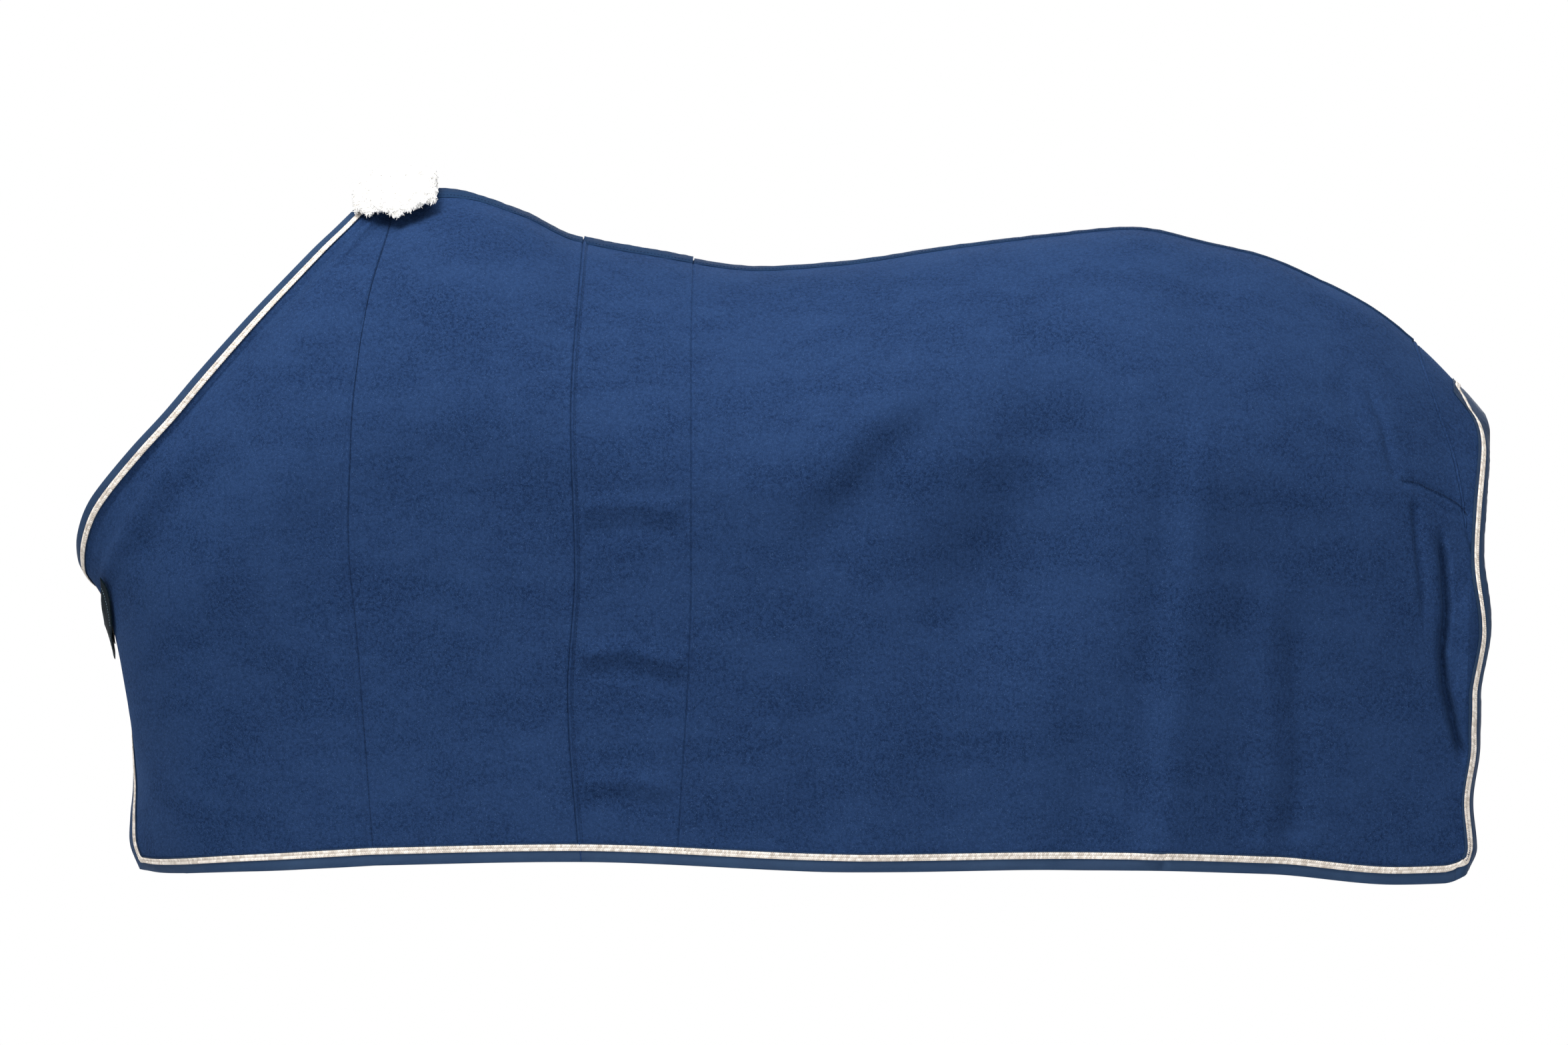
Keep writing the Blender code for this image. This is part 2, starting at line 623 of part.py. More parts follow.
def withers_pad(carriers, neck_x):
    """The sheepskin pad over the withers, seated on what lies under it."""
    trees = [BVHTree.FromPolygons([v.co for v in carrier.data.vertices],
                                  [p.vertices for p in carrier.data.polygons]) for carrier in carriers]
    columns, rows, fine = PAD_COLUMNS, PAD_ROWS, PAD_FINE
    across = np.linspace(-1, 1, rows * fine + 1)
    level = np.zeros((len(across), columns * fine + 1))
    places = neck_x - PAD_FRONT + PAD_LENGTH * np.linspace(0, 1, columns * fine + 1)
    sections = [pad_section(x, neck_x) for x in places]
    for k, x in enumerate(places):
        for i, share in enumerate(across):
            level[i, k] = top_under(trees, x, sections[k][0] * share, neck_x)
    base = np.zeros((rows + 1, columns + 1, 3))
    crown = np.zeros((rows + 1, columns + 1))
    for k in range(columns + 1):
        half, top = sections[k * fine]
        for i in range(rows + 1):
            rows_near = slice(max((i - 1) * fine, 0), (i + 1) * fine + 1)
            columns_near = slice(max((k - 1) * fine, 0), (k + 1) * fine + 1)
            share = across[i * fine]
            base[i, k] = (places[k * fine], half * share, level[rows_near, columns_near].max() + PAD_GAP)
            crown[i, k] = PAD_RIM + (top - PAD_RIM) * max(0.0, 1 - share ** 2) ** 0.6
    outward = np.zeros_like(base)
    outward[..., 2] = 1.0
    cells = cells_between(range(rows), 0, columns)
    pad = sheet("withers_pad", base, outward, cells, SHEEPSKIN, thick=PAD_RIM, lift=PAD_RIM, inset=0.0)
    for n in range(base.shape[0] * base.shape[1]):
        i, k = divmod(n, columns + 1)
        pad.data.vertices[n].co.z = base[i, k, 2] + crown[i, k]


# ---------------------------------------------------------------- chest closure

def chest_ring(patch, drop, steps=60):
    """The outer chest at one drop, as a path from the left side to the middle."""
    path = np.array([patch(0.6 * (1 - n / steps), drop) for n in range(steps + 1)])
    path = path[path[:, 1] < 0]
    ahead = path[-1] + (path[-1] - path[-2])
    ahead = mix(path[-1], ahead, -path[-1][1] / max(ahead[1] - path[-1][1], 1e-6))
    return np.vstack([path, ahead])


def chest_grid(patch, first, last, low, high, columns, rows=3):
    """A grid round the chest between two distances from the middle, with outward normals."""
    grid = np.zeros((rows + 1, columns + 1, 3))
    for i in range(rows + 1):
        ring = chest_ring(patch, mix(low, high, i / rows))
        total = lengths(ring)[-1]
        for k in range(columns + 1):
            place = mix(first, last, k / columns)
            point = on_path(ring, total - abs(place))
            grid[i, k] = point if place < 0 else point * np.array([1.0, -1.0, 1.0])
    outward = np.cross(np.gradient(grid, axis=1), np.gradient(grid, axis=0))
    return grid, outward / np.linalg.norm(outward, axis=2, keepdims=True)


def closure(sides, right_patch, patch):
    """Strap, sewn tab, hook patch and loop patch. Returns the moving pieces, the tab and the hinge."""
    run = lengths(sides[1])[-1]
    low, high = STRAP_TOP / run, (STRAP_TOP + STRAP_WIDTH) / run
    edge = PATCH_INSET / run
    strap_grid = chest_grid(patch, STRAP_SEWN, STRAP_END, low, high, 16)
    tab_grid = chest_grid(patch, STRAP_SEWN - TAB_LENGTH, STRAP_SEWN - SEAM_GAP, low, high, 2)
    first, last = STRAP_END - PATCH_INSET - PATCH_LENGTH, STRAP_END - PATCH_INSET
    hook_grid = chest_grid(patch, first, last, low + edge, high - edge, 6)
    loop_grid = chest_grid(right_patch, first, last, low + edge, high - edge, 6)

    def strip(name, laid, finish, lift, thick):
        grid, outward = laid
        cells = cells_between(range(grid.shape[0] - 1), 0, grid.shape[1] - 1)
        return sheet(name, grid, outward, cells, finish, lift=lift + thick, thick=thick, inset=0.0)

    strap = strip("closure_strap", strap_grid, WEBBING, STRAP_LIFT, STRAP_THICK)
    hook = strip("strap_hook_patch", hook_grid, HOOK, STRAP_LIFT - PATCH_GAP - PATCH_THICK, PATCH_THICK)
    strip("chest_loop_patch", loop_grid, HOOK, PATCH_SEAT, PATCH_THICK)
    tab = strip("strap_sewn_tab", tab_grid, WEBBING, PATCH_SEAT, STRAP_LIFT - PATCH_SEAT + STRAP_THICK)
    sewn = strap_grid[0][:, 0] + strap_grid[1][:, 0] * (STRAP_LIFT + STRAP_THICK)
    return [strap, hook], tab, (sewn.mean(axis=0), unit(sewn[0] - sewn[-1]))


# ---------------------------------------------------------------- hinges

def hang(name, place, axis, pieces, parent=None):
    """An empty on a hinge line, +Z along it, with its pieces parented to it."""
    turn = Vector(axis).to_track_quat("Z", "Y")
    hinge = bpy.data.objects.new(name, None)
    hinge.empty_display_size = 0.05
    bpy.context.scene.collection.objects.link(hinge)
    world = Matrix.LocRotScale(Vector(place), turn, None)
    hinge.matrix_world = world
    if parent is not None:
        hinge.parent = parent[0]
        hinge.matrix_parent_inverse = parent[1].inverted()
    for piece in pieces:
        piece.parent = hinge
        piece.matrix_parent_inverse = world.inverted()
    return hinge, world


def fold_hinge(pieces):
    """A point on the left front's hinge and its direction, outside every trim at the fold."""
    spots = [v.co for piece in pieces for v in piece.data.vertices if abs(v.co.x - FOLD_X) < 0.03]
    low = min(spot.z for spot in spots)
    high = max(spot.z for spot in spots)
    lean = FOLD_LEAN / (high - low)
    side = min(spot.y - lean * (spot.z - low) for spot in spots) - FOLD_CLEARANCE
    return Vector((FOLD_X, side, low)), Vector((0.0, lean, 1.0)).normalized()


def main():
    """Builds the rug."""
    for old in list(bpy.data.objects):
        bpy.data.objects.remove(old, do_unlink=True)

    body = body_grid()
    sides = front_sides(body[:, 0])
    front = front_grid(sides)

    def patch(share, drop):
        return front_patch(sides, share, drop, float(np.interp(drop, *front_rows(sides))))

    def right_patch(share, drop):
        return tuck_behind(patch(share, drop)[None])[0]

    left = half_rug("left", front, body)
    half_rug("right", tuck_behind(front), body)

    moving = [left["front_binding"], left["front_braid"]]
    for name in ("chest_panel", "neck_binding", "neck_braid", "hem_binding", "hem_braid"):
        back = "left_neck_panel" if name == "chest_panel" else f"left_{name}_rear"
        moving.append(cut_at_fold(left[name], f"left_{name}_front", back))

    neck_x = front[0, -1, 0]
    fixed = ("left_neck_panel", "left_shoulder_panel", "left_neck_binding_rear", "left_neck_braid_rear",
             "right_chest_panel", "right_shoulder_panel", "right_neck_binding", "right_neck_braid")
    withers_pad([bpy.data.objects[name] for name in fixed], neck_x)
    spine_tapes(body, neck_x - PAD_FRONT + PAD_LENGTH + TAPE_GAP)

    opening, tab, strap_hinge = closure(sides, right_patch, patch)
    place, axis = fold_hinge(moving)
    front_hinge = hang("left_front_hinge", place, axis, moving + [tab])
    hang("closure_strap_hinge", *strap_hinge, opening, parent=front_hinge)


main()
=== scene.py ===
"""Fleece show rug for a horse, in the shape it takes on the animal's back.

Metres, in the CAD frame: -X is the chest, +X the tail, -Y the horse's left side and +Z up, with
the origin on the back line. Each side of the rug is a skin of two surfaces: a front from the neck
edge back to the shoulder seam, and a body from there to the tail. Every panel, binding, braid,
tape, strap and stitch is laid on that skin. Shapes are made on the left and mirrored.
"""

import logging
import math
from dataclasses import dataclass
from enum import Enum
from typing import Callable, Sequence

import bmesh
import bpy
import numpy as np
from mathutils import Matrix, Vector


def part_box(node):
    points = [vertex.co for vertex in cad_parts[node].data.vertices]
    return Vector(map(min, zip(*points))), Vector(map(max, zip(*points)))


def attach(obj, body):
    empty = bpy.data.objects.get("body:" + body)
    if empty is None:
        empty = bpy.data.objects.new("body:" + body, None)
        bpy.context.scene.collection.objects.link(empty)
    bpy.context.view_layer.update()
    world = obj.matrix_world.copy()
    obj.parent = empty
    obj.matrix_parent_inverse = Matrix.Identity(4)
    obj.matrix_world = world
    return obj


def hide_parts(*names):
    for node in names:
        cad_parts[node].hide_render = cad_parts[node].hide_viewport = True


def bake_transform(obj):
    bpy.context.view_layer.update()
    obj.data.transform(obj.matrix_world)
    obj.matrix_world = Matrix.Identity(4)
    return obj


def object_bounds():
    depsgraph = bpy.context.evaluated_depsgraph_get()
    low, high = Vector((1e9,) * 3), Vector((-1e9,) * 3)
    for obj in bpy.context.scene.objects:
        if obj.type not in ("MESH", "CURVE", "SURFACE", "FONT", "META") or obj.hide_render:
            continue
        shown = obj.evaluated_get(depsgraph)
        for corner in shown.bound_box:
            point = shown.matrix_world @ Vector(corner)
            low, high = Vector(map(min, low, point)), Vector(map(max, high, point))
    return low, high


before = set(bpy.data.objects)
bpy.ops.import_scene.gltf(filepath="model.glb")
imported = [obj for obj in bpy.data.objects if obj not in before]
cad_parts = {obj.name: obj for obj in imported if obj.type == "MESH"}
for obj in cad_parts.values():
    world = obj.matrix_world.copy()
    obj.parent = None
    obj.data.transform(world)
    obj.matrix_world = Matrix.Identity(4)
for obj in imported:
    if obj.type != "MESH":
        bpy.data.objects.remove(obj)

Array = np.ndarray
Knots = tuple[tuple[float, ...], ...]
Spot = tuple[float, float, float]
Colour = tuple[float, float, float]
Piece = bpy.types.Object
Socket = bpy.types.NodeSocket
Wired = dict[str, Socket]
LOG = logging.getLogger("show_rug")
CAD_LOW, CAD_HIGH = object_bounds()

# ---------------------------------------------------------------- sizes and outline


@dataclass(frozen=True)
class Cut:
    """Sizes of the rug, its cloth and its trims, in metres."""

    length: float = CAD_HIGH.x - CAD_LOW.x
    drop: float = -CAD_LOW.z / 1.0187
    barrel: float = CAD_HIGH.y - 0.0152
    flare: float = 0.012
    cloth: float = 0.0030
    leg: float = 0.023
    satin: float = 0.0008
    gap: float = 0.0004
    braid_width: float = 0.0094
    braid_pitch: float = 0.0027
    tape_half: float = 0.035
    tape_lift: float = 0.0018
    tape_end: float = 0.30
    front_overlap: float = 0.020
    overlap_step: float = 0.012
    overlap_fade: float = 0.080
    strap_width: float = 0.050
    strap_thick: float = 0.0020
    strap_top: float = 0.070
    strap_sewn: float = -0.074
    strap_end: float = 0.105
    strap_lift: float = 0.0044
    tab: float = 0.040
    patch: float = 0.050
    fold_start: float = -0.600
    fold_end: float = -0.760
    allowance: float = 0.008
    allowance_thick: float = 0.0012
    dip: float = 0.013


CUT = Cut()
RIDGE_POWER = 1.62
FULLNESS = 1.7
CORNER_STEPS = 6
QUARTERS = ((1.0, 0.0), (0.0, 1.0), (-1.0, 0.0), (0.0, -1.0))

# Stations are shares of the length from the origin, heights are shares of the drop.
BACK_LINE = ((-0.300, 0.105), (-0.272, 0.119), (-0.244, 0.126), (-0.188, 0.090), (-0.150, 0.048),
             (-0.094, 0.022), (-0.019, -0.003), (0.038, 0.005), (0.113, 0.030), (0.188, 0.051),
             (0.244, 0.062), (0.300, 0.036), (0.338, 0.015), (0.375, -0.022), (0.413, -0.068),
             (0.450, -0.137), (0.484, -0.219), (0.500, -0.262))
HEM_LINE = ((-0.453, -1.000), (-0.366, -0.996), (-0.291, -0.987), (-0.150, -0.980), (0.056, -0.997),
            (0.188, -0.993), (0.338, -1.000), (0.430, -1.018), (0.460, -1.016), (0.480, -0.995))
REAR_EDGE = ((-0.219, 0.484), (-0.240, 0.493), (-0.275, 0.497), (-0.398, 0.493), (-0.480, 0.492),
             (-0.601, 0.496), (-0.716, 0.488), (-0.790, 0.489), (-0.890, 0.484), (-0.960, 0.486),
             (-0.995, 0.480))
SHOULDER_SEAM = ((0.118, -0.277), (-0.070, -0.297), (-0.271, -0.308), (-0.422, -0.310),
                 (-0.656, -0.301), (-0.987, -0.290))
GIRTH_SEAM = ((0.043, -0.144), (-0.255, -0.152), (-0.505, -0.149), (-0.704, -0.154), (-0.979, -0.146))
FLANK_SEAM = ((0.009, -0.066), (-0.137, -0.067), (-0.505, -0.067), (-0.989, -0.077))
GUSSET_SEAM = ((-0.121, 0.443), (-0.237, 0.459), (-0.332, 0.470), (-0.480, 0.477), (-0.995, 0.466))
GUSSET_END = -0.480
HALF_WIDTH = ((-0.300, 0.72), (-0.220, 0.86), (-0.144, 0.94), (0.000, 1.00), (0.220, 0.99),
              (0.330, 0.90), (0.430, 0.76), (0.497, 0.64))
ROUND_HEIGHT = ((-0.300, 0.330), (-0.100, 0.300), (0.200, 0.290), (0.400, 0.310), (0.497, 0.330))
NECK_LOOP = ((-0.300, 0.000, 0.105), (-0.304, 0.034, 0.095), (-0.319, 0.070, 0.060),
             (-0.338, 0.096, 0.018), (-0.375, 0.127, -0.072), (-0.413, 0.145, -0.172),
             (-0.439, 0.148, -0.243), (-0.462, 0.143, -0.301), (-0.484, 0.120, -0.362),
             (-0.495, 0.098, -0.402), (-0.501, 0.072, -0.446), (-0.501, 0.045, -0.482),
             (-0.498, 0.015, -0.506))
NECK_CORNER = (-0.496, -0.516)
FRONT_EDGE = ((-0.4905, -0.002, -0.545), (-0.480, 0.000, -0.590), (-0.4735, 0.002, -0.640),
              (-0.469, 0.006, -0.700), (-0.465, 0.013, -0.770), (-0.462, 0.024, -0.850),
              (-0.464, 0.035, -0.910), (-0.464, 0.044, -0.955), (-0.457, 0.060, -0.995))
HEM_FRONT = ((-0.440, 0.105, -1.000), (-0.410, 0.165, -0.999), (-0.366, 0.215, -0.996),
             (-0.325, 0.242, -0.991))


@dataclass(frozen=True)
class Fold:
    """A soft fold of the hanging cloth, drawn on the side view from its upper end, in metres.

    Height is its crest above the cloth round it, or its depth where negative. Spread is how far it
    reaches on the chest side and on the tail side, and fade how far it takes to die out at each end.
    """

    name: str
    line: Knots
    height: float
    spread: tuple[float, float]
    fade: tuple[float, float]

    def relief(self, x: Array, z: Array) -> Array:
        """How far the fold lifts the cloth.

        Args:
            x: Stations along the rug.
            z: Heights, of the same shape.

        Returns:
            The lift along the cloth's normal.
        """
        line = np.array(self.line)
        steps = np.diff(line, axis=0)
        runs = np.linalg.norm(steps, axis=1)
        starts = np.concatenate([[0.0], np.cumsum(runs)])
        nearest, along, side = np.full(x.shape, 9.0), np.zeros(x.shape), np.zeros(x.shape)
        for start, step, run, done in zip(line, steps, runs, starts):
            dx, dz = x - start[0], z - start[1]
            share = np.clip((dx * step[0] + dz * step[1]) / run ** 2, 0, 1)
            apart = np.hypot(dx - share * step[0], dz - share * step[1])
            closer = apart < nearest
            nearest = np.where(closer, apart, nearest)
            along = np.where(closer, done + share * run, along)
            side = np.where(closer, step[0] * dz - step[1] * dx, side)
        reach = np.where(side > 0, self.spread[1], self.spread[0])
        first = ease(along / self.fade[0]) if self.fade[0] > 0 else 1.0
        last = ease((starts[-1] - along) / self.fade[1]) if self.fade[1] > 0 else 1.0
        return FULLNESS * self.height * np.exp(-(nearest / reach) ** 2) * first * last


FOLDS = (
    Fold("rump crest", ((0.214, -0.136), (0.105, -0.203), (0.020, -0.301)),
         0.0085, (0.060, 0.030), (0.100, 0.100)),
    Fold("rump hollow", ((0.239, -0.174), (0.136, -0.251), (0.051, -0.345), (0.000, -0.430)),
         -0.0055, (0.035, 0.060), (0.120, 0.120)),
    Fold("flank hollow", ((0.385, -0.094), (0.324, -0.259), (0.256, -0.430), (0.202, -0.581)),
         -0.0180, (0.090, 0.110), (0.150, 0.200)),
    Fold("thigh swell", ((0.461, -0.191), (0.409, -0.430), (0.375, -0.643)),
         0.0040, (0.060, 0.060), (0.150, 0.150)),
    Fold("thigh ridge", ((0.541, -0.154), (0.534, -0.217), (0.522, -0.363), (0.506, -0.500),
                         (0.495, -0.637), (0.483, -0.746)),
         0.0095, (0.028, 0.070), (0.140, 0.000)),
    Fold("ridge front", ((0.496, -0.208), (0.481, -0.363), (0.466, -0.500), (0.454, -0.637),
                         (0.444, -0.746)),
         -0.0010, (0.016, 0.016), (0.100, 0.000)),
    Fold("ridge back", ((0.542, -0.135), (0.553, -0.203), (0.551, -0.271), (0.562, -0.418)),
         -0.0008, (0.0140, 0.0180), (0.060, 0.080)),
    Fold("ridge back low", ((0.539, -0.456), (0.522, -0.601), (0.510, -0.746)),
         -0.0008, (0.016, 0.022), (0.080, 0.000)),
    Fold("hock fold", ((0.652, -0.409), (0.652, -0.500), (0.659, -0.628), (0.645, -0.742)),
         -0.0028, (0.012, 0.024), (0.100, 0.020)),
    Fold("hock crest", ((0.618, -0.387), (0.614, -0.515), (0.618, -0.643), (0.610, -0.742)),
         0.0030, (0.022, 0.020), (0.100, 0.000)),
    Fold("croup crease", ((0.699, -0.135), (0.727, -0.189), (0.745, -0.248)),
         -0.0020, (0.012, 0.016), (0.030, 0.040)),
    Fold("tail crest", ((0.870, -0.404), (0.873, -0.473), (0.868, -0.549), (0.877, -0.609)),
         0.0040, (0.010, 0.014), (0.050, 0.050)),
    Fold("girth 1", ((-0.266, -0.313), (-0.196, -0.308), (-0.128, -0.316)),
         0.0020, (0.010, 0.014), (0.015, 0.015)),
    Fold("girth 1d", ((-0.266, -0.343), (-0.196, -0.338), (-0.128, -0.345)),
         -0.0015, (0.014, 0.010), (0.015, 0.015)),
    Fold("girth 2", ((-0.268, -0.502), (-0.205, -0.494), (-0.128, -0.515)),
         0.0026, (0.010, 0.014), (0.015, 0.015)),
    Fold("girth 2d", ((-0.268, -0.527), (-0.205, -0.519), (-0.128, -0.543)),
         -0.0018, (0.014, 0.010), (0.015, 0.015)),
    Fold("girth 3", ((-0.266, -0.666), (-0.205, -0.662), (-0.138, -0.673)),
         0.0020, (0.010, 0.014), (0.015, 0.015)),
    Fold("girth 3d", ((-0.266, -0.692), (-0.205, -0.688), (-0.138, -0.699)),
         -0.0012, (0.014, 0.010), (0.015, 0.015)),
    Fold("neck crest", ((-0.736, -0.191), (-0.816, -0.293), (-0.864, -0.374), (-0.881, -0.416)),
         0.0040, (0.012, 0.014), (0.100, 0.030)),
    Fold("neck hollow", ((-0.708, -0.212), (-0.793, -0.315), (-0.844, -0.400)),
         -0.0030, (0.014, 0.024), (0.100, 0.050)),
    Fold("shoulder swell", ((-0.409, -0.072), (-0.418, -0.345), (-0.409, -0.618)),
         0.0030, (0.090, 0.090), (0.150, 0.150)),
    Fold("chest swell", ((-0.751, -0.481), (-0.768, -0.737)),
         0.0030, (0.040, 0.055), (0.120, 0.000)),
    Fold("chest hollow", ((-0.670, -0.413), (-0.687, -0.737)),
         -0.0030, (0.050, 0.050), (0.140, 0.000)),
    Fold("belly swell", ((0.128, -0.456), (0.111, -0.746)),
         0.0030, (0.035, 0.045), (0.140, 0.000)),
    Fold("belly hollow", ((0.060, -0.481), (0.047, -0.746)),
         -0.0025, (0.040, 0.040), (0.140, 0.000)),
    Fold("flank swell", ((0.324, -0.430), (0.307, -0.746)),
         0.0030, (0.040, 0.050), (0.140, 0.000)),
    Fold("thigh hollow", ((0.392, -0.473), (0.380, -0.746)),
         -0.0030, (0.035, 0.035), (0.140, 0.000)),
)

CREASES = (
    Fold("dart crease", ((0.740, -0.143), (0.766, -0.203), (0.775, -0.248), (0.784, -0.276)),
         -0.0024, (0.006, 0.006), (0.040, 0.010)),
    Fold("dart seam", ((0.784, -0.276), (0.804, -0.278), (0.832, -0.290), (0.864, -0.308),
                       (0.877, -0.326)),
         -0.0018, (0.0045, 0.0022), (0.008, 0.010)),
    Fold("dart edge", ((0.802, -0.285), (0.832, -0.305), (0.864, -0.324), (0.875, -0.345),
                       (0.885, -0.381)),
         -0.0014, (0.003, 0.003), (0.010, 0.020)),
    Fold("dart fold", ((0.804, -0.297), (0.809, -0.363), (0.814, -0.409), (0.818, -0.477)),
         -0.0034, (0.0035, 0.0080), (0.020, 0.060)),
    Fold("tail fold", ((0.838, -0.331), (0.848, -0.381), (0.850, -0.440), (0.844, -0.500),
                       (0.848, -0.546), (0.859, -0.591), (0.873, -0.646)),
         -0.0100, (0.0080, 0.0035), (0.050, 0.040)),
)

# ---------------------------------------------------------------- curves


def ease(share: Array) -> Array:
    """A share from 0 to 1, eased at both ends."""
    held = np.clip(share, 0.0, 1.0)
    return held * held * (3 - 2 * held)


def mix(a: Array, b: Array, share: Array) -> Array:
    """Between a and b."""
    return a + (b - a) * share


def unit(vectors: Array) -> Array:
    """Vectors at length one, along the last axis."""
    return vectors / np.maximum(np.linalg.norm(vectors, axis=-1, keepdims=True), 1e-12)


def through(knots: Knots, at: Array) -> Array:
    """Reads a monotone curve.

    Args:
        knots: Positions and values that it passes through.
        at: Positions to read.

    Returns:
        The values there.
    """
    places, values = np.array(sorted(knots)).T
    slopes = np.diff(values) / np.diff(places)
    turn = slopes[1:] * slopes[:-1] > 0
    total = np.where(turn, slopes[1:] + slopes[:-1], 1.0)
    inner = np.where(turn, 2 * slopes[1:] * slopes[:-1] / total, 0.0)
    tangents = np.concatenate([slopes[:1], inner, slopes[-1:]])
    at = np.clip(at, places[0], places[-1])
    i = np.clip(np.searchsorted(places, at) - 1, 0, len(slopes) - 1)
    span = places[i + 1] - places[i]
    t = (at - places[i]) / span
    return ((1 + 2 * t) * (1 - t) ** 2 * values[i] + t * (1 - t) ** 2 * span * tangents[i]
            + t * t * (3 - 2 * t) * values[i + 1] + t * t * (t - 1) * span * tangents[i + 1])


def smooth_path(points: Sequence[Array], steps: int = 24) -> Array:
    """A dense path through the points, a Catmull-Rom curve.

    Args:
        points: The points.
        steps: Steps from one to the next.

    Returns:
        The dense path.
    """
    points = np.array(points, float)
    ends = np.vstack([2 * points[0] - points[1], points, 2 * points[-1] - points[-2]])
    t = (np.arange(steps) / steps)[:, None]
    spans = [0.5 * (2 * b + (c - a) * t + (2 * a - 5 * b + 4 * c - d) * t * t
                    + (3 * b - a - 3 * c + d) * t ** 3)
             for a, b, c, d in zip(ends, ends[1:], ends[2:], ends[3:])]
    return np.vstack(spans + [points[-1:]])


def lengths(path: Array) -> Array:
    """Distance along a path at each of its points."""
    return np.concatenate([[0.0], np.cumsum(np.linalg.norm(np.diff(path, axis=0), axis=1))])


def read_along(run: Array, values: Array, at: Array) -> Array:
    """Values given at distances along a path, read at other distances."""
    return np.stack([np.interp(at, run, values[:, axis]) for axis in range(3)], axis=-1)


def on_path(path: Array, distance: Array) -> Array:
    """Points at distances along a path."""
    return read_along(lengths(path), path, distance)


def ripple(points: Array, size: float, seed: int) -> Array:
    """Uneven waves from -1 to 1 in space.

    Args:
        points: Places to read.
        size: Length of the longest wave.
        seed: Which set of waves.

    Returns:
        One value for each place.
    """
    chance = np.random.default_rng(seed)
    total = np.zeros(points.shape[:-1])
    for octave in range(7):
        way = unit(chance.normal(size=3))
        turns = 2 * math.pi / (size * (1 - 0.09 * octave))
        total += np.sin(points @ way * turns + chance.uniform(0, 2 * math.pi))
    return total / 4.0


# ---------------------------------------------------------------- skin


def body_point(x: Array, row: Array) -> Array:
    """The skin behind the shoulder seam, on the left.

    Args:
        x: Stations along the rug.
        row: Row marks: 0 spine, 1 tape edge, 2 widest, 3 inner end of the binding, 4 hem.

    Returns:
        The points.
    """
    wide = CUT.barrel * through(HALF_WIDTH, x / CUT.length)
    back = CUT.drop * through(BACK_LINE, x / CUT.length)
    hem = CUT.drop * through(HEM_LINE, x / CUT.length)
    fall = through(ROUND_HEIGHT, x / CUT.length)
    taped = np.arcsin(np.minimum(CUT.tape_half * np.clip(row, 0, 1) / wide, 1) ** (RIDGE_POWER / 2))
    angle = np.where(row > 1, mix(taped, math.pi / 2, np.clip(row - 1, 0, 1)), taped)
    power = 2 / RIDGE_POWER
    y = -wide * np.sin(angle) ** power
    z = back - fall * (1 - np.maximum(np.cos(angle), 0) ** power)
    widest, leg = back - fall, hem + CUT.leg
    low = np.where(row > 3, mix(leg, hem, row - 3), mix(widest, leg, row - 2))
    flared = -wide - CUT.flare * (widest - low) / (widest - hem)
    return np.stack([x, np.where(row > 2, flared, y), np.where(row > 2, low, z)], axis=-1)


def body_station(column: Array, z: Array) -> Array:
    """Where a column of the body lies at a height.

    Args:
        column: Marks: 0 shoulder seam, 1 girth seam, 2 flank seam, 3 gusset seam, 4 inner end of
            the rear binding, 5 rear edge.
        z: Heights.

    Returns:
        Stations along the rug.
    """
    share = z / CUT.drop
    seams = [CUT.length * through(seam, share) for seam in (SHOULDER_SEAM, GIRTH_SEAM, FLANK_SEAM)]
    rear = CUT.length * through(REAR_EDGE, share)
    gusset = np.minimum(CUT.length * through(GUSSET_SEAM, share), rear - CUT.leg - 0.004)
    lines = np.stack(seams + [gusset, rear - CUT.leg, rear])
    first = np.clip(np.floor(column).astype(int), 0, 4)
    low = np.take_along_axis(lines, first[None], 0)[0]
    high = np.take_along_axis(lines, first[None] + 1, 0)[0]
    return mix(low, high, column - first)


def marks(counts: Sequence[int]) -> Array:
    """Even marks with counts[i] steps from i to i + 1."""
    parts = [i + np.arange(count) / count for i, count in enumerate(counts)]
    return np.concatenate(parts + [[float(len(counts))]])


BODY_ROWS = marks((4, 54, 80, 4))
BODY_COLUMNS = marks((42, 26, 150, 6, 4))
FRONT_COLUMNS = marks((4, 70))
NECK_ROWS = 4
WITHERS_ROWS = 4


def body_grid() -> Array:
    """The left body skin, rows by columns.

    Returns:
        Its points.
    """
    row, column = np.meshgrid(BODY_ROWS, BODY_COLUMNS, indexing="ij")
    x = body_station(column, np.full(row.shape, -0.5 * CUT.drop))
    for _ in range(40):
        x = mix(x, body_station(column, body_point(x, row)[..., 2]), 0.5)
    return body_point(x, row)


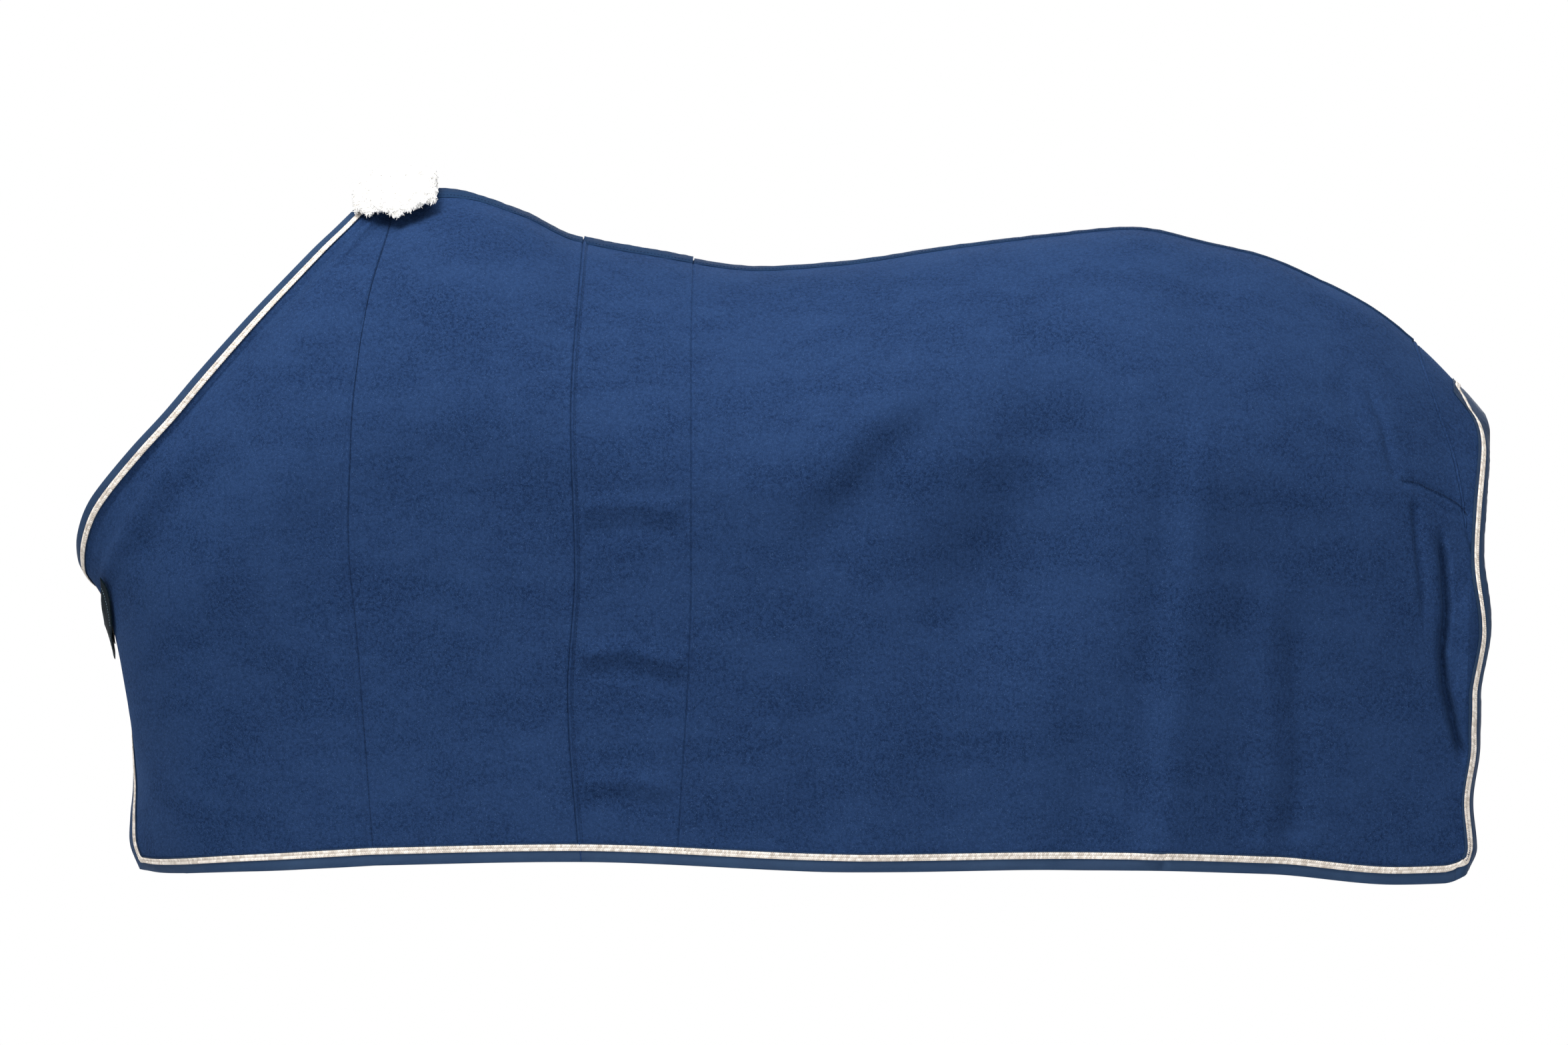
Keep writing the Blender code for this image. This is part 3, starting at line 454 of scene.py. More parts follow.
def front_grid(seam: Array) -> tuple[Array, Array]:
    """The left front skin.

    Args:
        seam: The body's first column, which it meets.

    Returns:
        Its points, rows by columns, and its row marks: 0 neck edge, 1 and 2 the inner ends of the
        bindings, 3 hem.
    """
    def space(points: Knots) -> list[Array]:
        """Points from station, half gap and height."""
        return [np.array([CUT.length * x, -y, CUT.drop * z]) for x, y, z in points]

    corner = np.array([CUT.length * NECK_CORNER[0], CUT.front_overlap, CUT.drop * NECK_CORNER[1]])
    neck = smooth_path(space(NECK_LOOP) + [corner])[::-1]
    edge = smooth_path([corner] + space(FRONT_EDGE))
    hem = smooth_path([edge[-1]] + space(HEM_FRONT) + [seam[-1]])
    leg_end = mix(neck[-1], seam[0], CUT.leg / np.linalg.norm(seam[0] - neck[-1]))
    strip = [mix(neck[-1], leg_end, i / NECK_ROWS) for i in range(NECK_ROWS)]
    strip += [mix(leg_end, seam[0], i / WITHERS_ROWS) for i in range(WITHERS_ROWS)]
    side = np.vstack([strip, seam])
    falls = lengths(side) / lengths(side)[-1]
    hem_leg = int(np.searchsorted(BODY_ROWS, 3.0)) + len(strip)
    stops = [0.0, falls[NECK_ROWS], falls[hem_leg], 1.0]
    leg = CUT.leg / lengths(edge)[-1]
    row_marks = np.interp(falls, stops, [0.0, 1.0, 2.0, 3.0])
    drops = np.interp(falls, stops, [0.0, leg, 1 - leg, 1.0])[:, None]
    widths = lengths(neck)[-1], lengths(hem)[-1]
    thin = CUT.leg / mix(widths[0], widths[1], drops)
    column = FRONT_COLUMNS[None, :]
    share = np.where(column < 1, thin * column, mix(thin, 1.0, column - 1))
    top = on_path(neck, share * widths[0])
    bottom = on_path(hem, share * widths[1])
    front = on_path(edge, drops * lengths(edge)[-1])
    share = share[..., None]
    depth = mix(drops[..., None], falls[:, None, None], share)
    corners = mix(mix(neck[0], neck[-1], share), mix(hem[0], hem[-1], share), depth)
    points = mix(front, side[:, None], share) + mix(top, bottom, depth) - corners
    return points, row_marks


def tuck_behind(points: Array) -> Array:
    """The right front's points, stepped back where it lies under the left one.

    Args:
        points: Rows by columns of points.

    Returns:
        The points moved.
    """
    near = ease(1 - np.abs(points[..., 1]) / CUT.overlap_fade)
    low = ease((-0.20 * CUT.drop - points[..., 2]) / (0.15 * CUT.drop))
    step = CUT.overlap_step * np.maximum(near, points[..., 1] > 0) * low
    return points + step[..., None] * np.array([1.0, 0.0, 0.0])


def chest_dip(points: Array) -> Array:
    """How far the fronts sink back between the neck and the knee, under the strap.

    Args:
        points: Rows by columns of points.

    Returns:
        One distance for each point.
    """
    share = -points[..., 2] / CUT.drop
    level = ease((share - 0.49) / 0.05) * (1 - ease((share - 0.72) / 0.14))
    return CUT.dip * level * (1 - ease(np.abs(points[..., 1]) / 0.062))


def turn_in(body: Array) -> Array:
    """The body's points, with the last of the rear edge turned in round the buttocks.

    Args:
        body: The body's points.

    Returns:
        The points moved.
    """
    apart = np.cumsum(np.linalg.norm(np.diff(body[:, ::-1], axis=1), axis=2), axis=1)[:, ::-1]
    apart = np.concatenate([apart, np.zeros((len(body), 1))], axis=1)
    side = ease((np.abs(body[..., 1]) - 0.02) / 0.08)
    along = 0.0085 * side * ease(apart / 0.014) * (1 - ease((apart - 0.018) / 0.080))
    inward = 0.0125 * side * (1 - ease(apart / 0.022))
    return body + np.stack([along, inward, np.zeros_like(along)], axis=-1)


MIRROR = np.array([1.0, -1.0, 1.0])


def outward(points: Array) -> Array:
    """Outward normals of a left grid."""
    return unit(np.cross(np.gradient(points, axis=0), np.gradient(points, axis=1)))


class Surface:
    """A smooth skin read at row and column marks."""

    def __init__(self, grid: Array, rows: Array, columns: Array) -> None:
        """Takes the grid with free edges all round.

        Args:
            grid: Rows by columns of points.
            rows: Row marks of the grid.
            columns: Column marks of the grid.
        """
        self.rows, self.columns = rows, columns
        ring = np.pad(grid, ((1, 1), (1, 1), (0, 0)), mode="edge")
        ring[0, 1:-1], ring[-1, 1:-1] = 2 * grid[0] - grid[1], 2 * grid[-1] - grid[-2]
        ring[1:-1, 0], ring[1:-1, -1] = 2 * grid[:, 0] - grid[:, 1], 2 * grid[:, -1] - grid[:, -2]
        self.ring = ring

    def finish_ring(self) -> None:
        """Works out the ring's corners and the normals, once its edges are right."""
        ring = self.ring
        for i, j, k, m in ((0, 1, 0, 1), (0, 1, -1, -2), (-1, -2, 0, 1), (-1, -2, -1, -2)):
            ring[i, k] = ring[j, k] + ring[i, m] - ring[j, m]
        self.outs = outward(ring)

    def at(self, row: Array, column: Array) -> Array:
        """Points at row and column marks."""
        return self._read(self.ring, row, column)

    def out(self, row: Array, column: Array) -> Array:
        """Outward normals at row and column marks."""
        return unit(self._read(self.outs, row, column))

    def _read(self, values: Array, row: Array, column: Array) -> Array:
        """Reads a grid between its points by a cubic.

        Args:
            values: The grid's values.
            row: Row marks.
            column: Column marks.

        Returns:
            The values there.
        """
        row, column = np.broadcast_arrays(row, column)
        i = np.interp(row, self.rows, np.arange(len(self.rows))) + 1
        k = np.interp(column, self.columns, np.arange(len(self.columns))) + 1
        i0 = np.clip(np.floor(i).astype(int), 1, len(self.rows))
        k0 = np.clip(np.floor(k).astype(int), 1, len(self.columns))
        total = 0.0
        for a, down in enumerate(self._weights(i - i0)):
            for b, back in enumerate(self._weights(k - k0)):
                rows = np.clip(i0 + a - 1, 0, len(self.rows) + 1)
                columns = np.clip(k0 + b - 1, 0, len(self.columns) + 1)
                total = total + (down * back)[..., None] * values[rows, columns]
        return total

    @staticmethod
    def _weights(t: Array) -> list[Array]:
        """Catmull-Rom weights of the four points round a share."""
        return [0.5 * (-t + 2 * t * t - t ** 3), 0.5 * (2 - 5 * t * t + 3 * t ** 3),
                0.5 * (t + 4 * t * t - 3 * t ** 3), 0.5 * (t ** 3 - t * t)]


class Skin:
    """One side of the rug: its front and body surfaces, flat as cut and with their folds."""

    def __init__(self, side: str) -> None:
        """Builds the surfaces of the "left" or "right" side, both drawn on the left.

        Args:
            side: left or right.
        """
        self.side = side
        self.hand = -1.0 if side == "right" else 1.0
        body = body_grid()
        front, self.front_rows = front_grid(body[:, 0])
        if side == "right":
            front = tuck_behind(front)
        self.top = len(front) - len(body)
        body = turn_in(body)
        front = front + chest_dip(front)[..., None] * np.array([1.0, 0.0, 0.0])
        front, body = self._ease_seam(front, body)
        self.flat_front, self.flat_body = self._surfaces(front, body)
        lift = [surface.outs[1:-1, 1:-1] * self._relief(grid)[..., None]
                for surface, grid in ((self.flat_front, front), (self.flat_body, body))]
        self.front, self.body = self._surfaces(front + lift[0], body + lift[1])

    def _surfaces(self, front: Array, body: Array) -> tuple[Surface, Surface]:
        """The two surfaces, smooth across the shoulder seam and over the spine.

        Args:
            front: The front's points.
            body: The body's points.

        Returns:
            The front and the body.
        """
        fore = Surface(front, self.front_rows, FRONT_COLUMNS)
        aft = Surface(body, BODY_ROWS, BODY_COLUMNS)
        aft.ring[0, 1:-1] = body[1] * MIRROR
        aft.ring[1:-1, 0] = front[self.top:, -2]
        fore.ring[1:self.top + 1, -1] = front[:self.top, -2] * MIRROR
        fore.ring[self.top + 1:-1, -1] = body[:, 1]
        fore.finish_ring()
        aft.finish_ring()
        return fore, aft

    def _ease_seam(self, front: Array, body: Array) -> tuple[Array, Array]:
        """Takes out the crease that the two grids make where they meet.

        Args:
            front: The front's points.
            body: The body's points.

        Returns:
            The points of both, eased.
        """
        joined = np.concatenate([front[self.top:], body[:, 1:]], axis=1)
        seam = front.shape[1] - 1
        apart = np.abs(np.arange(joined.shape[1]) - seam) * 0.006
        spine = ease(np.arange(joined.shape[0]) / 10)[:, None]
        weight = (1 - ease(apart / 0.13))[None, :] * spine
        for _ in range(260):
            gaps = np.linalg.norm(np.diff(joined, axis=1), axis=2)[..., None]
            near, far = gaps[:, :-1], gaps[:, 1:]
            middle = (joined[:, :-2] * far + joined[:, 2:] * near) / (near + far)
            out = outward(joined)[:, 1:-1]
            move = np.sum((middle - joined[:, 1:-1]) * out, axis=2) * weight[:, 1:-1]
            joined[:, 1:-1] += out * move[..., None]
        front, body = front.copy(), body.copy()
        front[self.top:], body[:, 0] = joined[:, :seam + 1], joined[:, seam]
        body[:, 1:] = joined[:, seam + 1:]
        return front, body

    def _relief(self, grid: Array) -> Array:
        """How far folds and the cloth's own unevenness lift each point.

        Args:
            grid: Rows by columns of points.

        Returns:
            One lift for each point.
        """
        shift = 0.035 if self.side == "right" else 0.0
        share = 0.75 if self.side == "right" else 1.0
        total = sum(fold.relief(grid[..., 0] + shift, grid[..., 2]) for fold in FOLDS) * share
        total += 0.0012 * ripple(grid, 0.34, 3) + 0.0005 * ripple(grid, 0.12, 4 + int(shift > 0))
        return total * ease((np.abs(grid[..., 1]) - 0.015) / 0.08)


# ---------------------------------------------------------------- mesh makers


class Mesh:
    """Gathers points, faces and the lay of each point, then makes one object of them."""

    def __init__(self) -> None:
        """Starts empty."""
        self.points: list[Array] = []
        self.lays: list[Array] = []
        self.faces: list[Array] = []
        self.caps: list[list[int]] = []
        self.count = 0

    def add(self, points: Array, lay: Array) -> int:
        """Adds points with their places along and across the cloth. Returns the first's number.

        Args:
            points: The points.
            lay: Their places along and across the cloth.

        Returns:
            The first's number.
        """
        first = self.count
        self.points.append(points.reshape(-1, 3))
        self.lays.append(lay.reshape(-1, 2))
        self.count += len(self.points[-1])
        return first

    def skin(self, points: Array, lay: Array, keep: Array | None = None) -> Array:
        """Adds a grid of quads.

        Args:
            points: Rows by columns of points.
            lay: Their places along and across the cloth, of the same rows and columns.
            keep: The cells to make, or all of them.

        Returns:
            The point numbers, rows by columns.
        """
        first = self.add(points, lay)
        index = first + np.arange(points.shape[0] * points.shape[1]).reshape(points.shape[:2])
        quads = np.stack([index[:-1, :-1], index[1:, :-1], index[1:, 1:], index[:-1, 1:]], axis=-1)
        self.faces.append(quads.reshape(-1, 4) if keep is None else quads[keep])
        return index

    def rim(self, a: Array, b: Array, keep: Array) -> None:
        """Joins two grids of point numbers round the border of the cells kept.

        Args:
            a: Point numbers of the outer grid.
            b: Point numbers of the inner grid.
            keep: The cells kept.
        """
        held = np.pad(keep, 1)
        level = held[1:, 1:-1] != held[:-1, 1:-1]
        upright = held[1:-1, 1:] != held[1:-1, :-1]
        for edge, first, last in ((level, np.s_[:, :-1], np.s_[:, 1:]), (upright, np.s_[:-1], np.s_[1:])):
            walls = [a[first][edge], a[last][edge], b[last][edge], b[first][edge]]
            self.faces.append(np.stack(walls, axis=-1))

    def tubes(self, rings: Array, lay: Array) -> None:
        """Adds closed bars through rings, with their ends capped.

        Args:
            rings: Bars by rings by ring points.
            lay: Their places along and across the cloth.
        """
        bars, many, size = rings.shape[:3]
        index = self.add(rings, lay) + np.arange(bars * many * size).reshape(bars, many, size)
        turned = np.roll(index, -1, axis=2)
        quads = np.stack([index[:, :-1], turned[:, :-1], turned[:, 1:], index[:, 1:]], axis=-1)
        self.faces.append(quads.reshape(-1, 4))
        if size == 4:
            self.faces += [index[:, 0, ::-1], index[:, -1]]
        else:
            self.caps += index[:, 0, ::-1].tolist() + index[:, -1].tolist()

    def make(self, name: str, hand: float = 1.0, solid: bool = True) -> Piece:
        """Makes the object.

        Args:
            name: Its name.
            hand: -1 mirrors it to the right side.
            solid: Turns all its faces outward.

        Returns:
            The object.
        """
        points = np.concatenate(self.points) * np.array([1.0, hand, 1.0])
        faces = np.concatenate(self.faces).tolist() + self.caps
        mesh = bpy.data.meshes.new(name)
        mesh.from_pydata(points.tolist(), [], faces)
        lay = np.concatenate(self.lays)
        layer = mesh.attributes.new("lay", "FLOAT_VECTOR", "POINT")
        layer.data.foreach_set("vector", np.column_stack([lay, np.zeros(len(lay))]).ravel())
        if solid:
            shaped = bmesh.new()
            shaped.from_mesh(mesh)
            loose = [point for point in shaped.verts if not point.link_faces]
            bmesh.ops.delete(shaped, geom=loose, context="VERTS")
            bmesh.ops.recalc_face_normals(shaped, faces=shaped.faces)
            shaped.to_mesh(mesh)
            shaped.free()
        mesh.shade_smooth()
        mesh.set_sharp_from_angle(angle=math.radians(62))
        made = bpy.data.objects.new(name, mesh)
        bpy.context.scene.collection.objects.link(made)
        return made


def spread_out(points: Array) -> Array:
    """Places along and across a grid of points, in metres.

    Args:
        points: Rows by columns of points.

    Returns:
        One pair for each point.
    """
    rows = np.cumsum(np.linalg.norm(np.diff(points, axis=0, prepend=points[:1]), axis=2), axis=0)
    columns = np.cumsum(np.linalg.norm(np.diff(points, axis=1, prepend=points[:, :1]), axis=2), axis=1)
    return np.stack([columns, rows], axis=-1)


def closed_sheet(name: str, points: Array, outs: Array, thick: float | Array, hand: float = 1.0,
                 keep: Array | None = None) -> Piece:
    """A sheet of cloth from its outer face.

    Args:
        name: The object's name.
        points: Rows by columns of its outer face, laid out on the left.
        outs: Outward normals there.
        thick: Its thickness, or one for each point.
        hand: -1 mirrors it.
        keep: The cells of the grid that are cloth, or all of them.

    Returns:
        The object.
    """
    mesh, lay = Mesh(), spread_out(points)
    deep = thick[..., None] if isinstance(thick, np.ndarray) else thick
    cells = np.ones((points.shape[0] - 1, points.shape[1] - 1), bool) if keep is None else keep
    outer = mesh.skin(points, lay, cells)
    inner = mesh.skin(points - outs * deep, lay, cells)
    mesh.rim(outer, inner, cells)
    return mesh.make(name, hand)


class Hold(Enum):
    """How a sheet is held."""

    DRAPED = "draped"
    FOLDED = "folded"
    LAID = "laid"


class Body(Enum):
    """The moving bodies of the rug."""

    RUG = "rug"
    FRONT = "left_front"
    STRAP = "strap"


@dataclass(frozen=True)
class Place:
    """What a piece rides on: one body, or a bend from the rug to the opening left front, which is kept but
    never applied.
    """

    body: Body
    bend: tuple[Body, Spot, Spot] | None = None

    def hold(self, piece: Piece) -> None:
        """Puts a finished piece on its body, or, where it has a bend, only bakes its transform.

        Args:
            piece: The piece.
        """
        if self.bend is None:
            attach(piece, self.body.value)
        else:
            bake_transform(piece)


ON_RUG = Place(Body.RUG)
ON_FRONT = Place(Body.FRONT)
ON_STRAP = Place(Body.STRAP)
OVER_FOLD = Place(Body.RUG, (Body.FRONT, (CUT.fold_start, -0.29, -0.35), (CUT.fold_end, -0.29, -0.35)))


def fit_out(piece: Piece, place: Place, finish: "Finish", *nodes: str) -> Piece:
    """Finishes a piece, puts it on its body and lets it stand for CAD nodes.

    Args:
        piece: The object.
        place: What it rides on.
        finish: Its finish.
        nodes: The CAD nodes it stands for.

    Returns:
        The piece.
    """
    piece.data.materials.clear()
    piece.data.materials.append(finish.material())
    place.hold(piece)
    if nodes:
        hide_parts(*nodes)
    LOG.info("%s: %d faces on %s", piece.name, len(piece.data.polygons), place.body.value)
    return piece


# ---------------------------------------------------------------- cloth panels


class Join(Enum):
    """How a panel is finished along a side."""

    FELLED = "felled"
    PLAIN = "plain"
    RAISED = "raised"
    BOUND = "bound"

    def relief(self, apart: Array) -> Array:
        """Lift of the cloth at a distance from the side.

        Args:
            apart: Distances from the side.

        Returns:
            The lift there.
        """
        def hump(place: float, width: float) -> Array:
            """A round hump at a distance from the side."""
            return np.exp(-((apart - place) / width) ** 2)

        if self is Join.FELLED:
            return -0.0009 * hump(0, 0.0010) + 0.0008 * hump(0.0042, 0.0026) - 0.0009 * hump(0.0078, 0.0010)
        if self is Join.PLAIN:
            return -0.0012 * hump(0, 0.0011) + 0.0004 * hump(0.004, 0.003)
        if self is Join.RAISED:
            return -0.0007 * hump(0, 0.0005) + 0.0024 * hump(0.0024, 0.0017) - 0.0006 * hump(0.0066, 0.0013)
        return np.zeros_like(apart)


STEPS = np.array([0, 0.0005, 0.0010, 0.0016, 0.0023, 0.0031, 0.0040, 0.0050, 0.0060, 0.0067, 0.0073, 0.0078,
                  0.0083, 0.0089, 0.0098, 0.0115, 0.0145])


@dataclass(frozen=True)
class Panel:
    """One piece of fleece: the surface it lies on, its column marks and how its two sides join."""

    name: str
    columns: tuple[float, float]
    joins: tuple[Join, Join]
    nodes: tuple[str, ...]
    front: bool = False
    rows: tuple[float, float] = (0.0, 4.0)
    tail_below: float | None = None


@dataclass(frozen=True)
class Laid:
    """A panel's grid: points, normals, distances from both sides and the cells that are cloth."""

    points: Array
    outs: Array
    first: Array
    second: Array
    keep: Array


@dataclass(frozen=True)
class Seam:
    """A seam down the body: its column mark, and how far off and how high its stitches lie."""

    name: str
    mark: float
    sewn: float
    lift: float


SEAMS = (Seam("shoulder", 0.0, -0.0078, -0.0009), Seam("saddle", 1.0, 0.0066, -0.0006),
         Seam("rump", 2.0, 0.0042, 0.0), Seam("tail", 3.0, 0.0078, -0.0009))


@dataclass
class Fleece:
    """The fleece panels of one side, with the seam allowances inside them and their stitching."""

    skin: Skin
    spacing: float = 0.0050
    crowding: float = 1.7
    extra_columns: int = 30
    probe: float = 0.02

    def __post_init__(self) -> None:
        """Finds the row at which the tail gusset ends."""
        heights = self.skin.flat_body.at(BODY_ROWS, np.full(len(BODY_ROWS), 5.0))[:, 2]
        self.split = float(BODY_ROWS[int(np.argmin(np.abs(heights - GUSSET_END * CUT.drop)))])

    def panels(self) -> list[Panel]:
        """The panels from chest to tail.

        Returns:
            The panels.
        """
        side = self.skin.side
        chest = ("left_neck_panel", "left_chest_panel_front") if side == "left" else ("right_chest_panel",)
        bound = Join.BOUND
        return [
            Panel(f"{side}_front_cloth", (0.0, 2.0), (bound, Join.FELLED), chest, front=True, rows=(0, 3)),
            Panel(f"{side}_shoulder_cloth", (0.0, 1.0), (Join.PLAIN, Join.PLAIN),
                  (f"{side}_shoulder_panel",)),
            Panel(f"{side}_saddle_cloth", (1.0, 2.0), (Join.RAISED, Join.PLAIN), (f"{side}_saddle_panel",)),
            Panel(f"{side}_rump_cloth", (2.0, 3.0), (Join.PLAIN, Join.PLAIN), (f"{side}_rump_panel",),
                  tail_below=self.split),
            Panel(f"{side}_tail_cloth", (3.0, 5.0), (Join.FELLED, bound), (f"{side}_tail_gusset",),
                  rows=(0.0, self.split)),
        ]

    def build(self, finish: "Finish", thread: "Finish") -> None:
        """Makes every panel, allowance and row of stitching.

        Args:
            finish: The fleece's finish.
            thread: The thread's finish.
        """
        extras = self.allowances(finish), self.stitching(thread)
        for panel in self.panels():
            cloth = self._cloth(panel, finish)

    def _surface(self, panel: Panel, flat: bool = False) -> Surface:
        """The surface a panel lies on, as cut or with its folds.

        Args:
            panel: The panel.
            flat: As cut, without the folds.

        Returns:
            The surface.
        """
        if panel.front:
            return self.skin.flat_front if flat else self.skin.front
        return self.skin.flat_body if flat else self.skin.body

    def _marked(self, panel: Panel, surface: Surface) -> Laid:
        """Lays a panel's grid on a surface.

        Args:
            panel: The panel.
            surface: The surface.

        Returns:
            The laid grid.
        """
        rows = surface.rows[(surface.rows >= panel.rows[0]) & (surface.rows <= panel.rows[1])]
        rows = np.sort(np.concatenate([rows, (rows[1:] + rows[:-1]) / 2]))
        low = np.full(len(rows), panel.columns[0])
        high = np.full(len(rows), panel.columns[1])
        start, end = surface.at(rows, low), surface.at(rows, high)
        across = np.maximum(np.linalg.norm(end - start, axis=1), 0.02)
        scale = np.minimum(1.0, 0.42 * across / STEPS[-1])[:, None]
        first = np.linalg.norm(surface.at(rows, low + self.probe) - start, axis=1)[:, None] / self.probe
        last = np.linalg.norm(surface.at(rows, high - self.probe) - end, axis=1)[:, None] / self.probe
        near = low[:, None] + scale * STEPS / first
        far = high[:, None] - scale * STEPS[::-1] / last
        middle = max(2, int(across.mean() / self.spacing))
        crowding = 1.0 if panel.tail_below is None else self.crowding
        between = 1 - (1 - np.arange(1, middle) / middle) ** crowding
        inner = mix(near[:, -1:], far[:, :1], between)
        column = np.concatenate([near, inner, far], axis=1)
        steps, away = scale * STEPS, np.ones_like(inner)
        from_first = np.concatenate([steps, away, np.ones_like(far)], axis=1)
        from_second = np.concatenate([np.ones_like(near), away, steps[:, ::-1]], axis=1)
        keep = np.ones((column.shape[0] - 1, column.shape[1] - 1), bool)
        if panel.tail_below is not None:
            below = rows >= panel.tail_below
            beyond = np.linspace(high[0], 5.0, self.extra_columns + 1)[1:] + 0 * high[:, None]
            column = np.concatenate([column, beyond], axis=1)
            from_first = np.concatenate([from_first, np.ones_like(beyond)], axis=1)
            from_second = np.concatenate([from_second, np.ones_like(beyond)], axis=1)
            from_second = np.where(below[:, None], 1.0, from_second)
            keep = np.concatenate([keep, np.repeat(below[:-1, None], self.extra_columns, axis=1)], axis=1)
        rows = rows[:, None]
        return Laid(surface.at(rows, column), surface.out(rows, column), from_first, from_second, keep)

    def _cloth(self, panel: Panel, finish: "Finish") -> Piece:
        """Makes one panel.

        Args:
            panel: The panel.
            finish: Its finish.

        Returns:
            The piece.
        """
        laid = self._marked(panel, self._surface(panel))
        lift = panel.joins[0].relief(laid.first) + panel.joins[1].relief(laid.second)
        if not panel.front:
            for crease in CREASES:
                lift = lift + crease.relief(laid.points[..., 0], laid.points[..., 2])
        points = laid.points + laid.outs * lift[..., None]
        piece = closed_sheet(panel.name, points, laid.outs, CUT.cloth, self.skin.hand, laid.keep)
        place = OVER_FOLD if panel.name == "left_front_cloth" else ON_RUG
        return fit_out(piece, place, finish, *panel.nodes)

    def _line(self, mark: float, apart: float, spacing: float) -> tuple[Array, Array]:
        """Points and normals along a seam of the body, at a distance from it towards the tail.

        Args:
            mark: The seam's column mark.
            apart: Distance from the seam towards the tail.
            spacing: Between two points.

        Returns:
            The points and their normals.
        """
        surface = self.skin.body
        last = self.split if mark == 3.0 else 4.0
        rows = np.linspace(0.0, last, int(1 + 0.95 / spacing))
        base = surface.at(rows, np.full(len(rows), mark))
        beside = surface.at(rows, np.full(len(rows), mark + self.probe))
        width = np.linalg.norm(beside - base, axis=1) / self.probe
        columns = mark + apart / width
        return surface.at(rows, columns), surface.out(rows, columns)

    def allowances(self, finish: "Finish") -> list[Piece]:
        """Seam allowances, felled flat on the inside.

        Args:
            finish: Its finish.

        Returns:
            The pieces.
        """
        made = []
        for seam in SEAMS:
            lines = [self._line(seam.mark, share * CUT.allowance, CUT.allowance)
                     for share in (-1.0, -0.5, 0.0, 0.5, 1.0)]
            points = np.stack([line[0] - line[1] * (CUT.cloth + 0.0006) for line in lines], axis=1)
            outs = np.stack([line[1] for line in lines], axis=1)
            points[:, 2] += outs[:, 2] * 0.0004
            piece = closed_sheet(f"{self.skin.side}_{seam.name}_cloth_allowance", points, outs,
                                 CUT.allowance_thick, self.skin.hand)
            made.append(fit_out(piece, ON_RUG, finish))
        return made

    def stitching(self, thread: "Finish") -> list[Piece]:
        """Rows of stitches beside the seams.

        Args:
            thread: The thread's finish.

        Returns:
            The pieces.
        """
        made = []
        for seam in SEAMS:
            mesh = Mesh()
            points, outs = self._line(seam.mark, seam.sewn, 0.004)
            stitches(mesh, points + outs * seam.lift, outs)
            if seam.name == "rump":
                points, outs = self._dart()
                stitches(mesh, points, outs, gap=0.0004, radius=0.0005)
            piece = mesh.make(f"{self.skin.side}_{seam.name}_cloth_stitches", self.skin.hand)
            made.append(fit_out(piece, ON_RUG, thread))
        return made

    def _dart(self) -> tuple[Array, Array]:
        """Points and normals along the stitched dart over the hock.

        Returns:
            The points and their normals.
        """
        crease = next(fold for fold in CREASES if fold.name == "dart seam")
        line = smooth_path([np.array([x, 0.0, z]) for x, z in crease.line])
        line = on_path(line, np.linspace(0.0, lengths(line)[-1], 40))
        row, column = np.meshgrid(np.linspace(1.0, 3.0, 420), np.linspace(2.6, 4.2, 420), indexing="ij")
        points, outs = self.skin.body.at(row, column), self.skin.body.out(row, column)
        flat = points[..., (0, 2)].reshape(-1, 2)
        near = [int(np.argmin(((flat - spot[[0, 2]]) ** 2).sum(axis=1))) for spot in line]
        path, out = points.reshape(-1, 3)[near], outs.reshape(-1, 3)[near]
        for _ in range(3):
            path[1:-1] = (path[:-2] + 2 * path[1:-1] + path[2:]) / 4
        return path - out * 0.0014, unit(out)


def stitches(mesh: Mesh, path: Array, outs: Array, length: float = 0.0032, gap: float = 0.0013,
             radius: float = 0.00032) -> None:
    """Adds a row of sewn stitches.

    Args:
        mesh: The mesh to add to.
        path: The line they follow.
        outs: Outward normals along it.
        length: Of one stitch.
        gap: Between two.
        radius: Of the thread.
    """
    run = lengths(path)
    starts = np.arange(gap, run[-1] - length, length + gap)
    at = starts[:, None] + length * np.array([0.0, 0.18, 0.5, 0.82, 1.0])
    centre, out = read_along(run, path, at), unit(read_along(run, outs, at))
    along = unit(np.gradient(centre, axis=1))
    side = np.cross(out, along)
    dip = radius * np.array([-1.6, 0.3, 0.9, 0.3, -1.6])[:, None]
    thin = radius * np.array([0.6, 1.0, 1.1, 1.0, 0.6])[:, None]
    centre = centre + out * dip
    rings = np.stack([centre + side * thin * a + out * thin * b for a, b in QUARTERS], axis=2)
    lay = np.stack([np.broadcast_to(at[..., None], rings.shape[:3]),
                    np.broadcast_to(np.arange(4.0) * radius, rings.shape[:3])], axis=-1)
    mesh.tubes(rings, lay)


# ---------------------------------------------------------------- edge trims


class Edge(Enum):
    """The bound edges of one side."""

    NECK = "neck"
    FRONT = "front"
    HEM = "hem"
    REAR = "rear"


@dataclass
class Ribbon:
    """Lines across a bound edge, from its rim to the inner end of the binding."""

    points: Array
    outs: Array
    run: Array


ACROSS_EDGE = np.array([0.0, 0.10, 0.22, 0.34, 0.46, 0.54, 0.739, 0.935, 0.965, 1.0])
BRAID_OUTER, BRAID_MIDDLE, BRAID_INNER = 5, 6, 7
BRAID_BASE = CUT.gap + CUT.satin + 0.00045
BRAID_CORE = 0.0005


